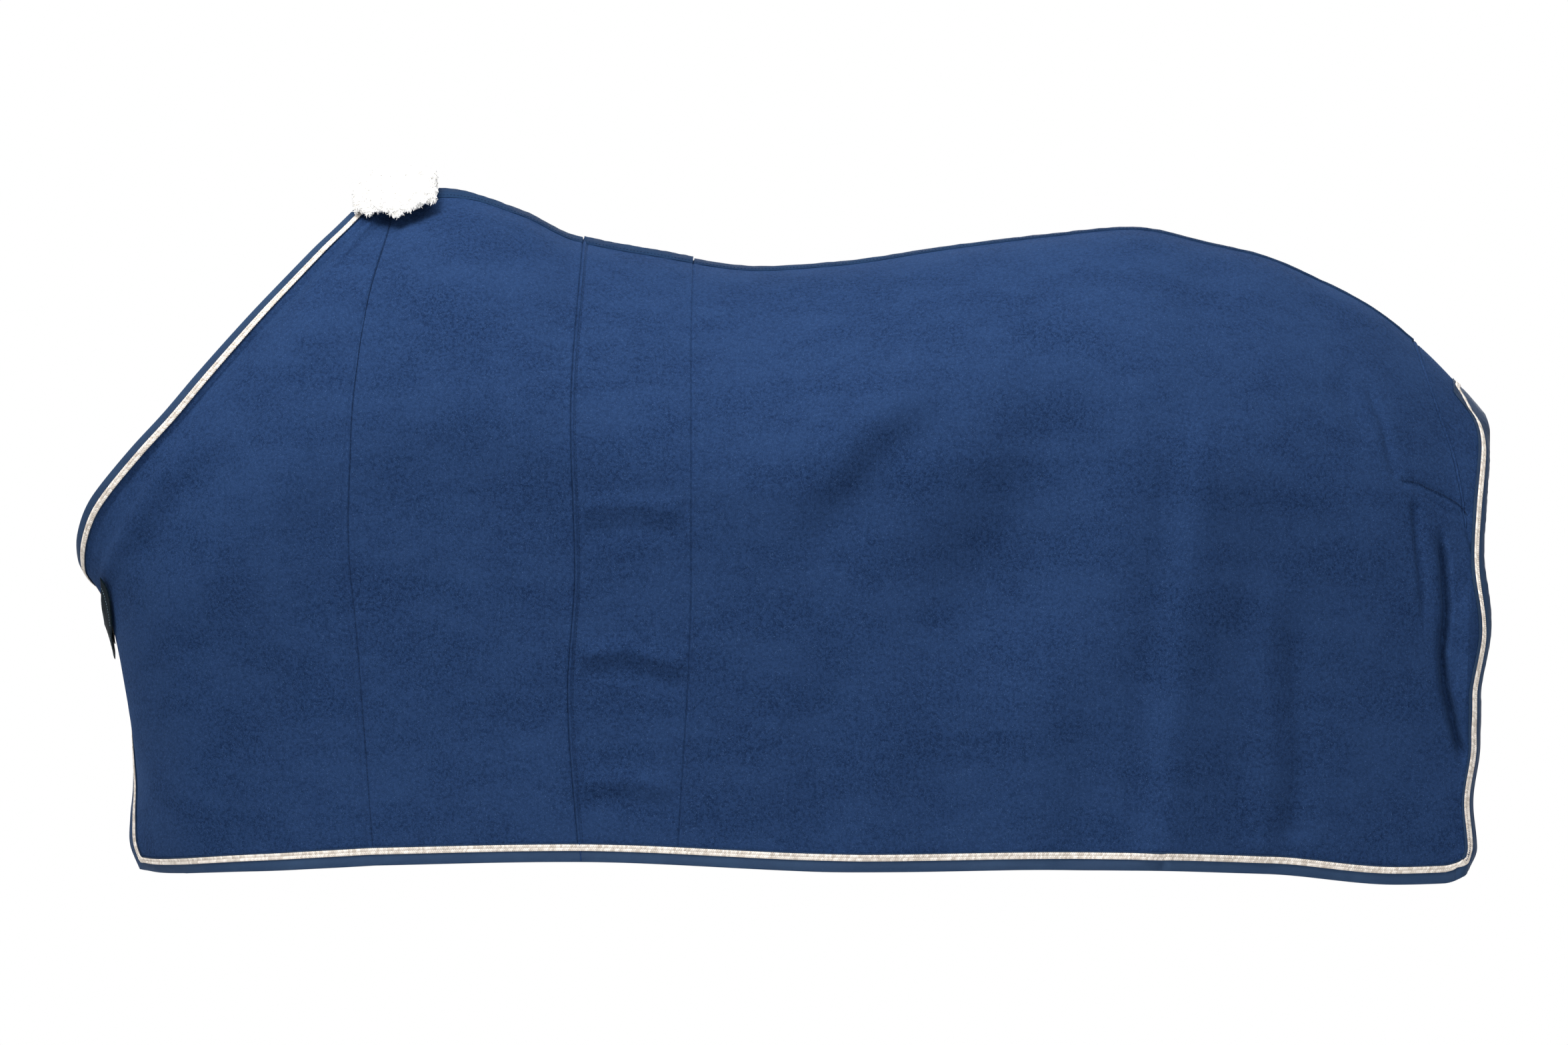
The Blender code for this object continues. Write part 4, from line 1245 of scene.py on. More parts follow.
@dataclass
class EdgeTrim:
    """Binding and braid along one bound edge."""

    skin: Skin
    edge: Edge
    station: float = 0.0042
    turn: float = 0.004
    yarn_long: float = 0.0030
    yarn_wide: float = 0.00112
    yarn_high: float = 0.00062

    def __post_init__(self) -> None:
        """Names the trim and lays its lines."""
        self.name = f"{self.skin.side}_{self.edge.value}"
        self.ribbon = self._ribbon()

    def build(self, satin: "Finish", yarn: "Finish", thread: "Finish") -> None:
        """Makes the folded binding, the braid sewn on it and its inner row of stitches.

        Args:
            satin: The tape's or binding's finish.
            yarn: The braid's finish.
            thread: The thread's finish.
        """
        place = OVER_FOLD
        if self.skin.side == "right" or self.edge is Edge.REAR:
            place = ON_RUG
        elif self.edge is Edge.FRONT:
            place = ON_FRONT
        braid = fit_out(self.braid(), place, yarn, *self._nodes("braid"))
        sewn = fit_out(self.inner_stitches(), place, thread)
        binding = fit_out(self.binding(), place, satin, *self._nodes("binding"))

    def _nodes(self, kind: str) -> list[str]:
        """The CAD nodes that a trim of this edge stands for.

        Args:
            kind: binding or braid.

        Returns:
            The nodes' names.
        """
        if self.skin.side == "left" and self.edge in (Edge.NECK, Edge.HEM):
            return [f"{self.name}_{kind}_front", f"{self.name}_{kind}_rear"]
        return [f"{self.name}_{kind}"]

    def _ribbon(self) -> Ribbon:
        """Lays lines across the edge, mitred at its corners.

        Returns:
            The lines.
        """
        q = ACROSS_EDGE[None, :]
        runs = {Edge.NECK: self._neck, Edge.FRONT: self._front, Edge.HEM: self._hem,
                Edge.REAR: self._rear}[self.edge](q)
        points = np.concatenate([surface.at(row, column) for surface, row, column in runs])
        outs = np.concatenate([surface.out(row, column) for surface, row, column in runs])
        keep = np.concatenate([[True], np.linalg.norm(np.diff(points[:, 0], axis=0), axis=1) > 1e-5])
        points, outs = points[keep], outs[keep]
        return Ribbon(points, outs, lengths(points[:, BRAID_MIDDLE]))

    def _even(self, surface: Surface, row: tuple[float, float], column: tuple[float, float]) -> int:
        """How many stations a straight run takes.

        Args:
            surface: The surface.
            row: Its row marks at both ends.
            column: Its column marks at both ends.

        Returns:
            The number of stations.
        """
        t = np.linspace(0, 1, 200)
        path = surface.at(mix(row[0], row[1], t), mix(column[0], column[1], t))
        return max(4, int(lengths(path)[-1] / self.station))

    def _neck(self, q: Array) -> list[tuple[Surface, Array, Array]]:
        """From the front corner up to the withers.

        Args:
            q: Shares of the binding's width, from the rim.

        Returns:
            Surfaces with their row and column marks.
        """
        front = self.skin.front
        fan = np.linspace(0, 1, CORNER_STEPS)[:-1, None]
        line = np.linspace(1, 2, self._even(front, (0, 0), (1, 2)))[:, None]
        return [(front, q + 0 * fan, mix(fan, 1.0, q)), (front, q + 0 * line, line + 0 * q)]

    def _front(self, q: Array) -> list[tuple[Surface, Array, Array]]:
        """From the neck corner down to the hem.

        Args:
            q: Shares of the binding's width, from the rim.

        Returns:
            Surfaces with their row and column marks.
        """
        front = self.skin.front
        fan = np.linspace(0, 1, CORNER_STEPS)[:-1, None]
        line = np.linspace(1, 2, self._even(front, (1, 2), (0, 0)))[:, None]
        toe = np.linspace(2, 3, CORNER_STEPS)[1:, None]
        return [(front, mix(fan, 1.0, q), q + 0 * fan), (front, line + 0 * q, q + 0 * line),
                (front, mix(toe, 2.0, q), q + 0 * toe)]

    def _hem(self, q: Array) -> list[tuple[Surface, Array, Array]]:
        """From the front corner back to the tail corner.

        Args:
            q: Shares of the binding's width, from the rim.

        Returns:
            Surfaces with their row and column marks.
        """
        front, body = self.skin.front, self.skin.body
        fan = np.linspace(0, 1, CORNER_STEPS)[:-1, None]
        line = np.linspace(1, 2, self._even(front, (3, 3), (1, 2)))[:, None]
        parts = [np.linspace(i, i + 1, self._even(body, (4, 4), (i, i + 1)))[:, None] for i in range(4)]
        rest = np.concatenate(parts)
        heel = np.linspace(4, 5, CORNER_STEPS)[1:, None]
        return [(front, 3 - q + 0 * fan, mix(fan, 1.0, q)), (front, 3 - q + 0 * line, line + 0 * q),
                (body, 4 - q + 0 * rest, rest + 0 * q), (body, 4 - q + 0 * heel, mix(heel, 4.0, q))]

    def _rear(self, q: Array) -> list[tuple[Surface, Array, Array]]:
        """From the tail corner up to the top of the tail.

        Args:
            q: Shares of the binding's width, from the rim.

        Returns:
            Surfaces with their row and column marks.
        """
        body = self.skin.body
        heel = np.linspace(4, 3, CORNER_STEPS)[:-1, None]
        parts = [np.linspace(i, i - 1, self._even(body, (i, i - 1), (5, 5)))[:, None] for i in (3, 2, 1)]
        rest = np.concatenate(parts)
        return [(body, mix(heel, 3.0, q), 5 - q + 0 * heel), (body, rest + 0 * q, 5 - q + 0 * rest)]

    def binding(self) -> Piece:
        """The satin, folded round the rim.

        Returns:
            The piece.
        """
        points, outs = self.ribbon.points, self.ribbon.outs
        outer = self._folded(points, outs, CUT.gap + CUT.satin)
        inner = self._folded(points, outs, CUT.gap)
        loop = np.concatenate([outer, inner[:, ::-1]], axis=1)
        width = np.cumsum(np.linalg.norm(np.diff(loop, axis=1, prepend=loop[:, :1]), axis=2), axis=1)
        lay = np.stack([np.broadcast_to(self.ribbon.run[:, None], width.shape), width], axis=-1)
        mesh = Mesh()
        mesh.tubes(loop[None], lay[None])
        return mesh.make(f"{self.name}_binding_satin", self.skin.hand)

    def _folded(self, points: Array, outs: Array, lift: float) -> Array:
        """The section of the binding at a distance from the fleece, outer leg first.

        Args:
            points: Rows by columns of points.
            outs: Outward normals there.
            lift: Distance from the fleece.

        Returns:
            The section, lines by points.
        """
        q = ACROSS_EDGE[None, :]
        puckers = 0.00042 * ripple(points, 0.0135, 11) + 0.00016 * ripple(points, 0.006, 12)
        bulge = np.sin(math.pi * np.clip(q / 0.5, 0, 1)) * (1.0 + puckers / 0.0006) * 0.0005
        rolled = 0.0004 * np.clip((q - 0.95) / 0.02, 0, 1)
        outer = points + outs * (lift + bulge + rolled)[..., None]
        inner = points - outs * (CUT.cloth + lift + 0.6 * bulge + rolled)[..., None]
        away = unit(points[:, 0] - points[:, 1])
        centre = points[:, 0] - outs[:, 0] * CUT.cloth / 2
        turns = np.radians([62, 30, 0, -30, -62])[None, :, None]
        high, wide = CUT.cloth / 2 + lift, lift + 0.0002
        round_rim = (centre[:, None] + outs[:, :1] * high * np.sin(turns)
                     + away[:, None] * wide * np.cos(turns) ** 0.5)
        return np.concatenate([outer[:, ::-1], round_rim, inner], axis=1)

    def braid(self) -> Piece:
        """A flat plait: slanting yarns on each side of its middle, on a thin core.

        Returns:
            The piece.
        """
        points = self.ribbon.points
        across = unit(points[:, BRAID_INNER] - points[:, BRAID_OUTER])
        middle = mix(points[:, BRAID_OUTER], points[:, BRAID_INNER], 0.5)
        mesh = Mesh()
        self._core(mesh, middle, across)
        uneven = np.random.default_rng(21)
        for hand, offset in ((1.0, 0.0), (-1.0, 0.5)):
            self._yarns(mesh, middle, across, uneven, hand, offset)
        return mesh.make(f"{self.name}_braid_plait", self.skin.hand)

    def _core(self, mesh: Mesh, middle: Array, across: Array) -> None:
        """Adds the flat core under the yarns.

        Args:
            mesh: The mesh to add to.
            middle: The braid's middle line.
            across: Directions across it.
        """
        out = self.ribbon.outs[:, BRAID_MIDDLE:BRAID_MIDDLE + 1]
        half, run = CUT.braid_width / 2, lengths(middle)
        u = np.array([-1.0, -0.5, 0.0, 0.5, 1.0])
        core = middle[:, None] + across[:, None] * (half - 0.0006) * u[:, None] + out * BRAID_BASE
        section = np.concatenate([core + out * BRAID_CORE, core[:, ::-1]], axis=1)
        lay = np.stack([np.broadcast_to(run[:, None], section.shape[:2]),
                        np.broadcast_to(np.concatenate([u, u[::-1]]) * half, section.shape[:2])], axis=-1)
        mesh.tubes(section[None], lay[None])

    def _yarns(self, mesh: Mesh, middle: Array, across: Array, uneven: np.random.Generator,
               hand: float, offset: float) -> None:
        """Adds the slanting yarns on one side of the middle.

        Args:
            mesh: The mesh to add to.
            middle: The braid's middle line.
            across: Directions across it.
            uneven: Source of small irregularities.
            hand: 1 or -1, the side.
            offset: Share of a pitch that they start late.
        """
        run, half = lengths(middle), CUT.braid_width / 2
        t = np.linspace(0, 1, 6)
        shape = np.sin(math.pi * (0.10 + 0.80 * t)) ** 0.55
        starts = np.arange(CUT.braid_pitch, run[-1] - CUT.braid_pitch * 2.2, CUT.braid_pitch)
        turns = np.arange(6) * math.pi / 3
        jitter = uneven.normal(0, 0.00008, len(starts))[:, None]
        size = (1 + uneven.normal(0, 0.05, len(starts)))[:, None, None]
        at = starts[:, None] + offset * CUT.braid_pitch + t * self.yarn_long + jitter
        aside = hand * (0.00010 + t * (half - 0.0008))
        centre = read_along(run, middle, at) + read_along(run, across, at) * aside[:, None]
        out = unit(read_along(run, self.ribbon.outs[:, BRAID_MIDDLE], at))
        centre += out * (BRAID_BASE + BRAID_CORE + 0.00035 * np.sin(math.pi * t)[:, None])
        flat = np.cross(out, unit(np.gradient(centre, axis=1)))
        wide = (self.yarn_wide * shape)[None, :, None] * size
        high = (self.yarn_high * shape)[None, :, None] * size
        rings = np.stack([centre + flat * wide * math.cos(a) + out * high * math.sin(a)
                          for a in turns], axis=2)
        lay = np.stack([np.broadcast_to(at[..., None], rings.shape[:3]),
                        np.broadcast_to(aside[:, None] + 0 * turns, rings.shape[:3])], axis=-1)
        mesh.tubes(rings, lay)

    def inner_stitches(self) -> Piece:
        """The row of stitches that shows inside, near the inner leg's end.

        Returns:
            The piece.
        """
        points, outs = self.ribbon.points[:, BRAID_INNER], self.ribbon.outs[:, BRAID_INNER]
        mesh = Mesh()
        stitches(mesh, points - outs * (CUT.cloth + CUT.gap + CUT.satin + 0.0001), -outs)
        return mesh.make(f"{self.name}_binding_stitches", self.skin.hand)


# ---------------------------------------------------------------- spine tapes


@dataclass(frozen=True)
class Tape:
    """One length of tape over the spine, between two body column marks."""

    name: str
    node: str
    columns: tuple[float, float]
    end_share: float = 1.0
    bulge: float = 0.0


@dataclass
class SpineTapes:
    """The satin tapes that cover the join along the back."""

    left: Skin
    right: Skin
    lines: int = 29

    def __post_init__(self) -> None:
        """Starts the first tape behind the pad."""
        back = self.left.body.at(np.zeros(200), np.linspace(0, 1, 200))[:, 0]
        start = float(np.interp(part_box("spine_tape_front")[0].x, back, np.linspace(0, 1, 200)))
        self.tapes = (Tape("spine_tape_over_withers", "spine_tape_front", (start, 0.997)),
                      Tape("spine_tape_over_saddle", "spine_tape_middle", (1.005, 1.994), bulge=0.0022),
                      Tape("spine_tape_over_rump", "spine_tape_rear", (2.001, 3.0), CUT.tape_end))

    def build(self, satin: "Finish", thread: "Finish") -> None:
        """Makes the tapes and the stitches along their sides.

        Args:
            satin: The tape's or binding's finish.
            thread: The thread's finish.
        """
        for tape in self.tapes:
            points, outs = self._laid(tape)
            share = np.linspace(-1, 1, self.lines)[:, None]
            lift = CUT.tape_lift - 0.0011 * np.exp(-((1 - np.abs(share)) / 0.05) ** 2)
            lift = lift - 0.0005 * np.exp(-((np.abs(share) - 0.88) / 0.03) ** 2)
            lift = lift + tape.bulge * (1 - share ** 2) + 0.0004 * ripple(points, 0.022, 31)
            face = points + outs * lift[..., None]
            piece = closed_sheet(tape.name, face, outs, np.maximum(lift - 0.0005, 0.0006))
            mesh = Mesh()
            for row in (2, self.lines - 3):
                stitches(mesh, face[row] + outs[row] * 0.0001, outs[row])
            sewn = fit_out(mesh.make(f"{tape.name}_stitches"), ON_RUG, thread)
            fit_out(piece, ON_RUG, satin, tape.node)

    def _laid(self, tape: Tape) -> tuple[Array, Array]:
        """Points and normals of the cloth under a tape, from its left side to its right.

        Args:
            tape: The tape.

        Returns:
            The points and their normals.
        """
        column = np.linspace(*tape.columns, max(20, int(110 * (tape.columns[1] - tape.columns[0]))))
        width = mix(1.0, tape.end_share, (column - column[0]) / (column[-1] - column[0]))
        row = np.linspace(1, 0, self.lines // 2 + 1)[:, None] * width
        halves = []
        for skin in (self.left, self.right):
            halves.append((skin.body.at(row, column + 0 * row), skin.body.out(row, column + 0 * row)))
        points = np.concatenate([halves[0][0], (halves[1][0] * MIRROR)[-2::-1]])
        outs = np.concatenate([halves[0][1], (halves[1][1] * MIRROR)[-2::-1]])
        outs[self.lines // 2, :, 1] = 0.0
        return points, unit(outs)


# ---------------------------------------------------------------- withers pad


@dataclass
class WithersPad:
    """The sheepskin over the withers: a stuffed body with locks of wool standing on it."""

    voxel: float = 0.0035
    pressure: float = 4.0
    frames: int = 12
    most_swell: float = 0.0020
    locks: int = 9000

    def build(self, wool: "Finish") -> None:
        """Makes the pad and its wool.

        Args:
            wool: The wool's finish.
        """
        pad = self._stuffed()
        locks = fit_out(self._wool(pad), ON_RUG, wool)
        fit_out(pad, ON_RUG, wool, "withers_pad")
        LOG.info("%s carries %d locks", locks.name, self.locks)

    def _stuffed(self) -> Piece:
        """The pad's body, swollen by its filling and roughened like wool.

        Returns:
            The piece.
        """
        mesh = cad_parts["withers_pad"].data.copy()
        mesh.name = "withers_sheepskin"
        pad = bpy.data.objects.new("withers_sheepskin", mesh)
        bpy.context.scene.collection.objects.link(pad)
        remesh = pad.modifiers.new("Even", "REMESH")
        remesh.mode, remesh.voxel_size = "VOXEL", self.voxel
        apply_modifiers(pad)
        self._swell(pad)
        smooth = pad.modifiers.new("Soft", "SMOOTH")
        smooth.factor, smooth.iterations = 0.5, 3
        fine = pad.modifiers.new("Fine", "SUBSURF")
        fine.levels = fine.render_levels = 1
        apply_modifiers(pad)
        points, outs = vertex_frames(pad)
        curls = 0.0011 * ripple(points, 0.016, 41) + 0.0006 * ripple(points, 0.007, 42) - 0.0012
        points = points + outs * curls[:, None]
        pad.data.vertices.foreach_set("co", points.ravel())
        pad.data.update()
        pad.data.shade_smooth()
        return pad

    def _swell(self, pad: Piece) -> None:
        """Lets the filling press out the cover, by at most a few millimetres.

        Args:
            pad: The pad's body.
        """
        before = vertex_frames(pad)[0]
        cloth = pad.modifiers.new("Cover", "CLOTH")
        cloth.settings.use_pressure = True
        cloth.settings.uniform_pressure_force = self.pressure
        cloth.settings.quality = 4
        cloth.settings.effector_weights.gravity = 0.0
        scene = bpy.context.scene
        for tick in range(1, self.frames + 1):
            scene.frame_set(tick)
        apply_modifiers(pad)
        scene.frame_set(1)
        after = vertex_frames(pad)[0]
        move = after - before
        far = np.linalg.norm(move, axis=1, keepdims=True)
        after = before + move * np.minimum(1.0, self.most_swell / np.maximum(far, 1e-9))
        pad.data.vertices.foreach_set("co", after.ravel())
        pad.data.update()

    def _wool(self, pad: Piece) -> Piece:
        """Locks of wool, each a bent tapering bar, clustered in curls.

        Args:
            pad: The pad's body.

        Returns:
            The piece.
        """
        chance = np.random.default_rng(51)
        points, outs = vertex_frames(pad)
        shown = np.flatnonzero(outs[:, 2] > -0.75)
        chosen = chance.choice(shown, self.locks)
        root, out = points[chosen], outs[chosen]
        lean = np.stack([ripple(root, 0.018, 52), ripple(root, 0.018, 53), ripple(root, 0.018, 54)], axis=1)
        lean = unit(lean + 0.45 * chance.normal(size=lean.shape) + 1e-6)
        lean = unit(lean - out * np.sum(lean * out, axis=1, keepdims=True))
        long = (0.0030 + 0.0018 * chance.random(self.locks))[:, None, None]
        t = np.linspace(0, 1, 5)[None, :, None]
        curl = 0.75 * t + 0.45 * t * t
        centre = (root[:, None] - out[:, None] * 0.0008 + out[:, None] * long * 0.42 * np.sin(2.2 * t)
                  + lean[:, None] * long * curl)
        along = unit(np.gradient(centre, axis=1))
        side = unit(np.cross(along, out[:, None] + 0.01))
        other = np.cross(side, along)
        thin = 0.00070 * (1 - t ** 2.2 * 0.86)
        rings = np.stack([centre + side * thin * a + other * thin * b for a, b in QUARTERS], axis=2)
        apart = np.arange(self.locks)[:, None, None] * 0.01
        lay = np.stack([np.broadcast_to(t * 0.006, rings.shape[:3]),
                        np.broadcast_to(apart, rings.shape[:3])], axis=-1)
        mesh = Mesh()
        mesh.tubes(rings, lay)
        return mesh.make("withers_sheepskin_wool")


def apply_modifiers(piece: Piece) -> None:
    """Applies a piece's modifiers to its mesh.

    Args:
        piece: The piece.
    """
    graph = bpy.context.evaluated_depsgraph_get()
    made = bpy.data.meshes.new_from_object(piece.evaluated_get(graph))
    piece.modifiers.clear()
    piece.data = made


def vertex_frames(piece: Piece) -> tuple[Array, Array]:
    """A mesh's points and their normals.

    Args:
        piece: The piece.

    Returns:
        The points and their normals.
    """
    many = len(piece.data.vertices)
    points, outs = np.empty(many * 3, np.float32), np.empty(many * 3, np.float32)
    piece.data.vertices.foreach_get("co", points)
    piece.data.vertices.foreach_get("normal", outs)
    return points.reshape(-1, 3).astype(float), outs.reshape(-1, 3).astype(float)


# ---------------------------------------------------------------- chest closure


@dataclass
class ChestClosure:
    """The strap that closes the chest, its sewn tab and the two hook-and-loop patches."""

    left: Skin
    right: Skin
    bend: float = 0.016
    tab_corner: float = 0.016
    tab_gap: float = 0.0003
    lines: int = 22
    column: float = 0.0018
    patch_inset: float = 0.004
    patch_thick: float = 0.0013

    def __post_init__(self) -> None:
        """Measures the front edge."""
        marks_down = np.linspace(0, 3, 900)
        self.run = float(lengths(self.left.flat_front.at(marks_down, np.zeros_like(marks_down)))[-1])
        self.high = CUT.strap_lift + CUT.strap_thick

    def build(self, webbing: "Finish", hook: "Finish", loop: "Finish", thread: "Finish") -> None:
        """Makes the strap, tab and patches.

        Args:
            webbing: The strap's finish.
            hook: The hook patch's finish.
            loop: The loop patch's finish.
            thread: The thread's finish.
        """
        strap_grid = self._round(self.left, CUT.strap_sewn, CUT.strap_end)
        strap = self._webbing("closure_webbing", *strap_grid)
        tab_grid = self._round(self.left, CUT.strap_sewn - CUT.tab, CUT.strap_sewn - self.tab_gap,
                               cut=self.tab_corner)
        tab = self._webbing("closure_tab", *tab_grid)
        strap_sewn = fit_out(self._side_rows(*strap_grid), ON_STRAP, thread)
        tab_sewn = fit_out(self._end_row(*tab_grid), ON_FRONT, thread)
        fit_out(strap, self._over_hinge(strap_grid[0]), webbing, "closure_strap")
        fit_out(tab, ON_FRONT, webbing, "strap_sewn_tab")
        self._patch("closure_hook_patch", self.left, CUT.strap_lift - 0.0003, hook, ON_STRAP,
                    "strap_hook_patch")
        self._patch("closure_loop_patch", self.right, 0.0023, loop, ON_RUG, "chest_loop_patch")

    def _over_hinge(self, points: Array) -> Place:
        """The strap's bend, which starts at its sewn end.

        Args:
            points: Rows by columns of points.

        Returns:
            The bend.
        """
        start = points[:, 0].mean(axis=0)
        end = start + unit(points[:, 8].mean(axis=0) - start) * self.bend
        return Place(Body.FRONT, (Body.STRAP, tuple(map(float, start)), tuple(map(float, end))))

    def _side_rows(self, points: Array, outs: Array) -> Piece:
        """The stitches along the strap's sides.

        Args:
            points: Rows by columns of points.
            outs: Outward normals there.

        Returns:
            The piece.
        """
        mesh = Mesh()
        for row in (2, -3):
            stitches(mesh, points[row] + outs[row] * self.high, outs[row], radius=0.00022)
        return mesh.make("closure_webbing_stitches")

    def _end_row(self, points: Array, outs: Array) -> Piece:
        """The stitches across the tab.

        Args:
            points: Rows by columns of points.
            outs: Outward normals there.

        Returns:
            The piece.
        """
        mesh, line = Mesh(), np.s_[1:-1, 8]
        stitches(mesh, points[line] + outs[line] * self.high, outs[line], length=0.0026, gap=0.0009,
                 radius=0.0004)
        return mesh.make("closure_tab_stitches")

    def _ring(self, skin: Skin, row: float) -> Array:
        """The chest at a row of the front, from the left side to the middle.

        Args:
            skin: The side whose skin it lies on.
            row: The row mark.

        Returns:
            The path, from the left side to the middle.
        """
        column = np.linspace(1.8, 0.0, 400)
        path = skin.front.at(np.full(400, row), column)
        path[:, 0] -= chest_dip(path)
        path = path[path[:, 1] < 0]
        ahead = path[-1] + (path[-1] - path[-2])
        share = -path[-1][1] / max(ahead[1] - path[-1][1], 1e-9)
        return np.vstack([path, mix(path[-1], ahead, share)])

    def _round(self, skin: Skin, first: float, last: float, inset: float = 0.0,
               cut: float = 0.0) -> tuple[Array, Array]:
        """A grid round the chest.

        Args:
            skin: The side whose front it lies on.
            first: Where it starts, from the middle, negative on the left.
            last: Where it ends.
            inset: How far its top and bottom come in from the strap's.
            cut: How much is cut off its lower corner at the start.

        Returns:
            Points, top to bottom by columns, and outward normals.
        """
        low = (CUT.strap_top + inset) / self.run
        high = (CUT.strap_top + CUT.strap_width - inset) / self.run
        leg = CUT.leg / self.run
        rows = 1 + (np.linspace(low, high, self.lines) - leg) / (1 - 2 * leg)
        many = max(12, int((last - first) / self.column))
        place = np.linspace(first, last, many)
        points = np.zeros((len(rows), many, 3))
        for i, row in enumerate(rows):
            ring = self._ring(skin, float(row))
            corner = cut * max(0.0, (i / (self.lines - 1) - 0.62) / 0.38)
            begin = place + corner * (last - place) / (last - first)
            spots = on_path(ring, lengths(ring)[-1] - np.abs(begin))
            points[i] = np.where(begin[:, None] < 0, spots, spots * MIRROR)
        smoothed = points.copy()
        for _ in range(14):
            smoothed[:, 1:-1] = 0.25 * smoothed[:, :-2] + 0.5 * smoothed[:, 1:-1] + 0.25 * smoothed[:, 2:]
        outs = unit(np.cross(np.gradient(smoothed, axis=1), np.gradient(smoothed, axis=0)))
        return smoothed, outs

    def _webbing(self, name: str, points: Array, outs: Array) -> Piece:
        """A length of webbing with rounded selvedges.

        Args:
            name: Its name.
            points: Rows by columns of points.
            outs: Outward normals there.

        Returns:
            The piece.
        """
        share = np.linspace(-1, 1, points.shape[0])[:, None]
        rolled = 0.0007 * np.clip((np.abs(share) - 0.9) / 0.1, 0, 1) ** 2
        ribs = 0.00012 * np.cos(share * math.pi * 9)
        face = points + outs * (self.high - rolled + ribs)[..., None]
        thick = np.broadcast_to(CUT.strap_thick - 2 * rolled, points.shape[:2]).copy()
        return closed_sheet(name, face, outs, thick)

    def _patch(self, name: str, skin: Skin, lift: float, finish: "Finish", place: Place,
               node: str) -> None:
        """A hook or loop patch: a thin sheet of tape.

        Args:
            name: Its name.
            skin: The side whose skin it lies on.
            lift: How far it stands off the cloth.
            finish: Its finish.
            place: What it rides on.
            node: The CAD node it stands for.
        """
        last = CUT.strap_end - self.patch_inset
        points, outs = self._round(skin, last - CUT.patch, last, self.patch_inset)
        piece = closed_sheet(name, points + outs * lift, outs, self.patch_thick)
        fit_out(piece, place, finish, node)


# ---------------------------------------------------------------- finishes


class Bench:
    """A shader tree being wired."""

    def __init__(self, tree: bpy.types.NodeTree) -> None:
        """Takes an empty tree."""
        self.tree = tree

    def node(self, kind: str, inputs: dict[str | int, "Socket | float | Spot"] | None = None,
             **settings: object) -> bpy.types.Node:
        """Adds a node.

        Args:
            kind: Its type without the leading words.
            inputs: A socket to join or a value to set, by the input's name or number.
            settings: Its own settings.

        Returns:
            The node.
        """
        prefix = "" if kind.startswith("Node") else "ShaderNode"
        made = self.tree.nodes.new(prefix + kind)
        for name, value in settings.items():
            setattr(made, name, value)
        for name, value in (inputs or {}).items():
            if isinstance(value, Socket):
                self.tree.links.new(value, made.inputs[name])
            else:
                made.inputs[name].default_value = value
        return made

    def maths(self, how: str, *values: Socket | float) -> Socket:
        """The result of a sum on sockets or numbers."""
        return self.node("Math", dict(enumerate(values)), operation=how).outputs[0]

    def blend(self, share: Socket | float, a: Socket | Colour, b: Socket | Colour) -> Socket:
        """Two colours mixed by a share.

        Args:
            share: How much of the second.
            a: The first.
            b: The second.

        Returns:
            The mixed colour.
        """
        made = self.node("Mix", data_type="RGBA", blend_type="MIX")
        for socket, value in ((made.inputs[0], share), (made.inputs[6], a), (made.inputs[7], b)):
            if isinstance(value, Socket):
                self.tree.links.new(value, socket)
            else:
                socket.default_value = value if not isinstance(value, tuple) else (*value, 1.0)[:4]
        return made.outputs[2]

    def spread(self, value: Socket, low: float, high: float, to_low: float = 0.0,
               to_high: float = 1.0) -> Socket:
        """A value moved from one range to another, and held there."""
        inputs = {0: value, 1: low, 2: high, 3: to_low, 4: to_high}
        return self.node("MapRange", inputs, interpolation_type="SMOOTHSTEP").outputs[0]

    def noise(self, place: Socket, scale: Socket | float, detail: float = 2.0,
              rough: float = 0.55) -> Socket:
        """Cloudy noise at a place."""
        inputs = {"Vector": place, "Scale": scale, "Detail": detail, "Roughness": rough}
        return self.node("TexNoise", inputs).outputs[0]

    def place(self) -> Socket:
        """The point on the piece, in metres."""
        return self.node("TexCoord").outputs["Object"]

    def lay(self) -> tuple[Socket, Socket]:
        """How far along and across its cloth a point lies, in metres.

        Returns:
            Both distances.
        """
        vector = self.node("Attribute", attribute_name="lay").outputs["Vector"]
        parts = self.node("SeparateXYZ", {0: vector})
        return parts.outputs[0], parts.outputs[1]


def node_group(name: str, inputs: dict[str, float | Colour], outputs: Sequence[str],
               wire: Callable[[Bench, bpy.types.Node], Wired]) -> bpy.types.NodeTree:
    """A shader group, made once.

    Args:
        name: Its name.
        inputs: Its input sockets with their first values, colours as triples.
        outputs: Its output sockets; "Color" is a colour and the others are values.
        wire: Adds its nodes, given the bench and the input node, and returns the output sockets.

    Returns:
        The group.
    """
    found = bpy.data.node_groups.get(name)
    if found:
        return found
    tree = bpy.data.node_groups.new(name, "ShaderNodeTree")
    for label, value in inputs.items():
        kind = "NodeSocketColor" if isinstance(value, tuple) else "NodeSocketFloat"
        socket = tree.interface.new_socket(name=label, in_out="INPUT", socket_type=kind)
        socket.default_value = (*value, 1.0) if isinstance(value, tuple) else value
    for label in outputs:
        kind = "NodeSocketColor" if label == "Color" else "NodeSocketFloat"
        tree.interface.new_socket(name=label, in_out="OUTPUT", socket_type=kind)
    bench = Bench(tree)
    entry = bench.node("NodeGroupInput")
    leave = bench.node("NodeGroupOutput")
    for label, socket in wire(bench, entry).items():
        tree.links.new(socket, leave.inputs[label])
    return tree


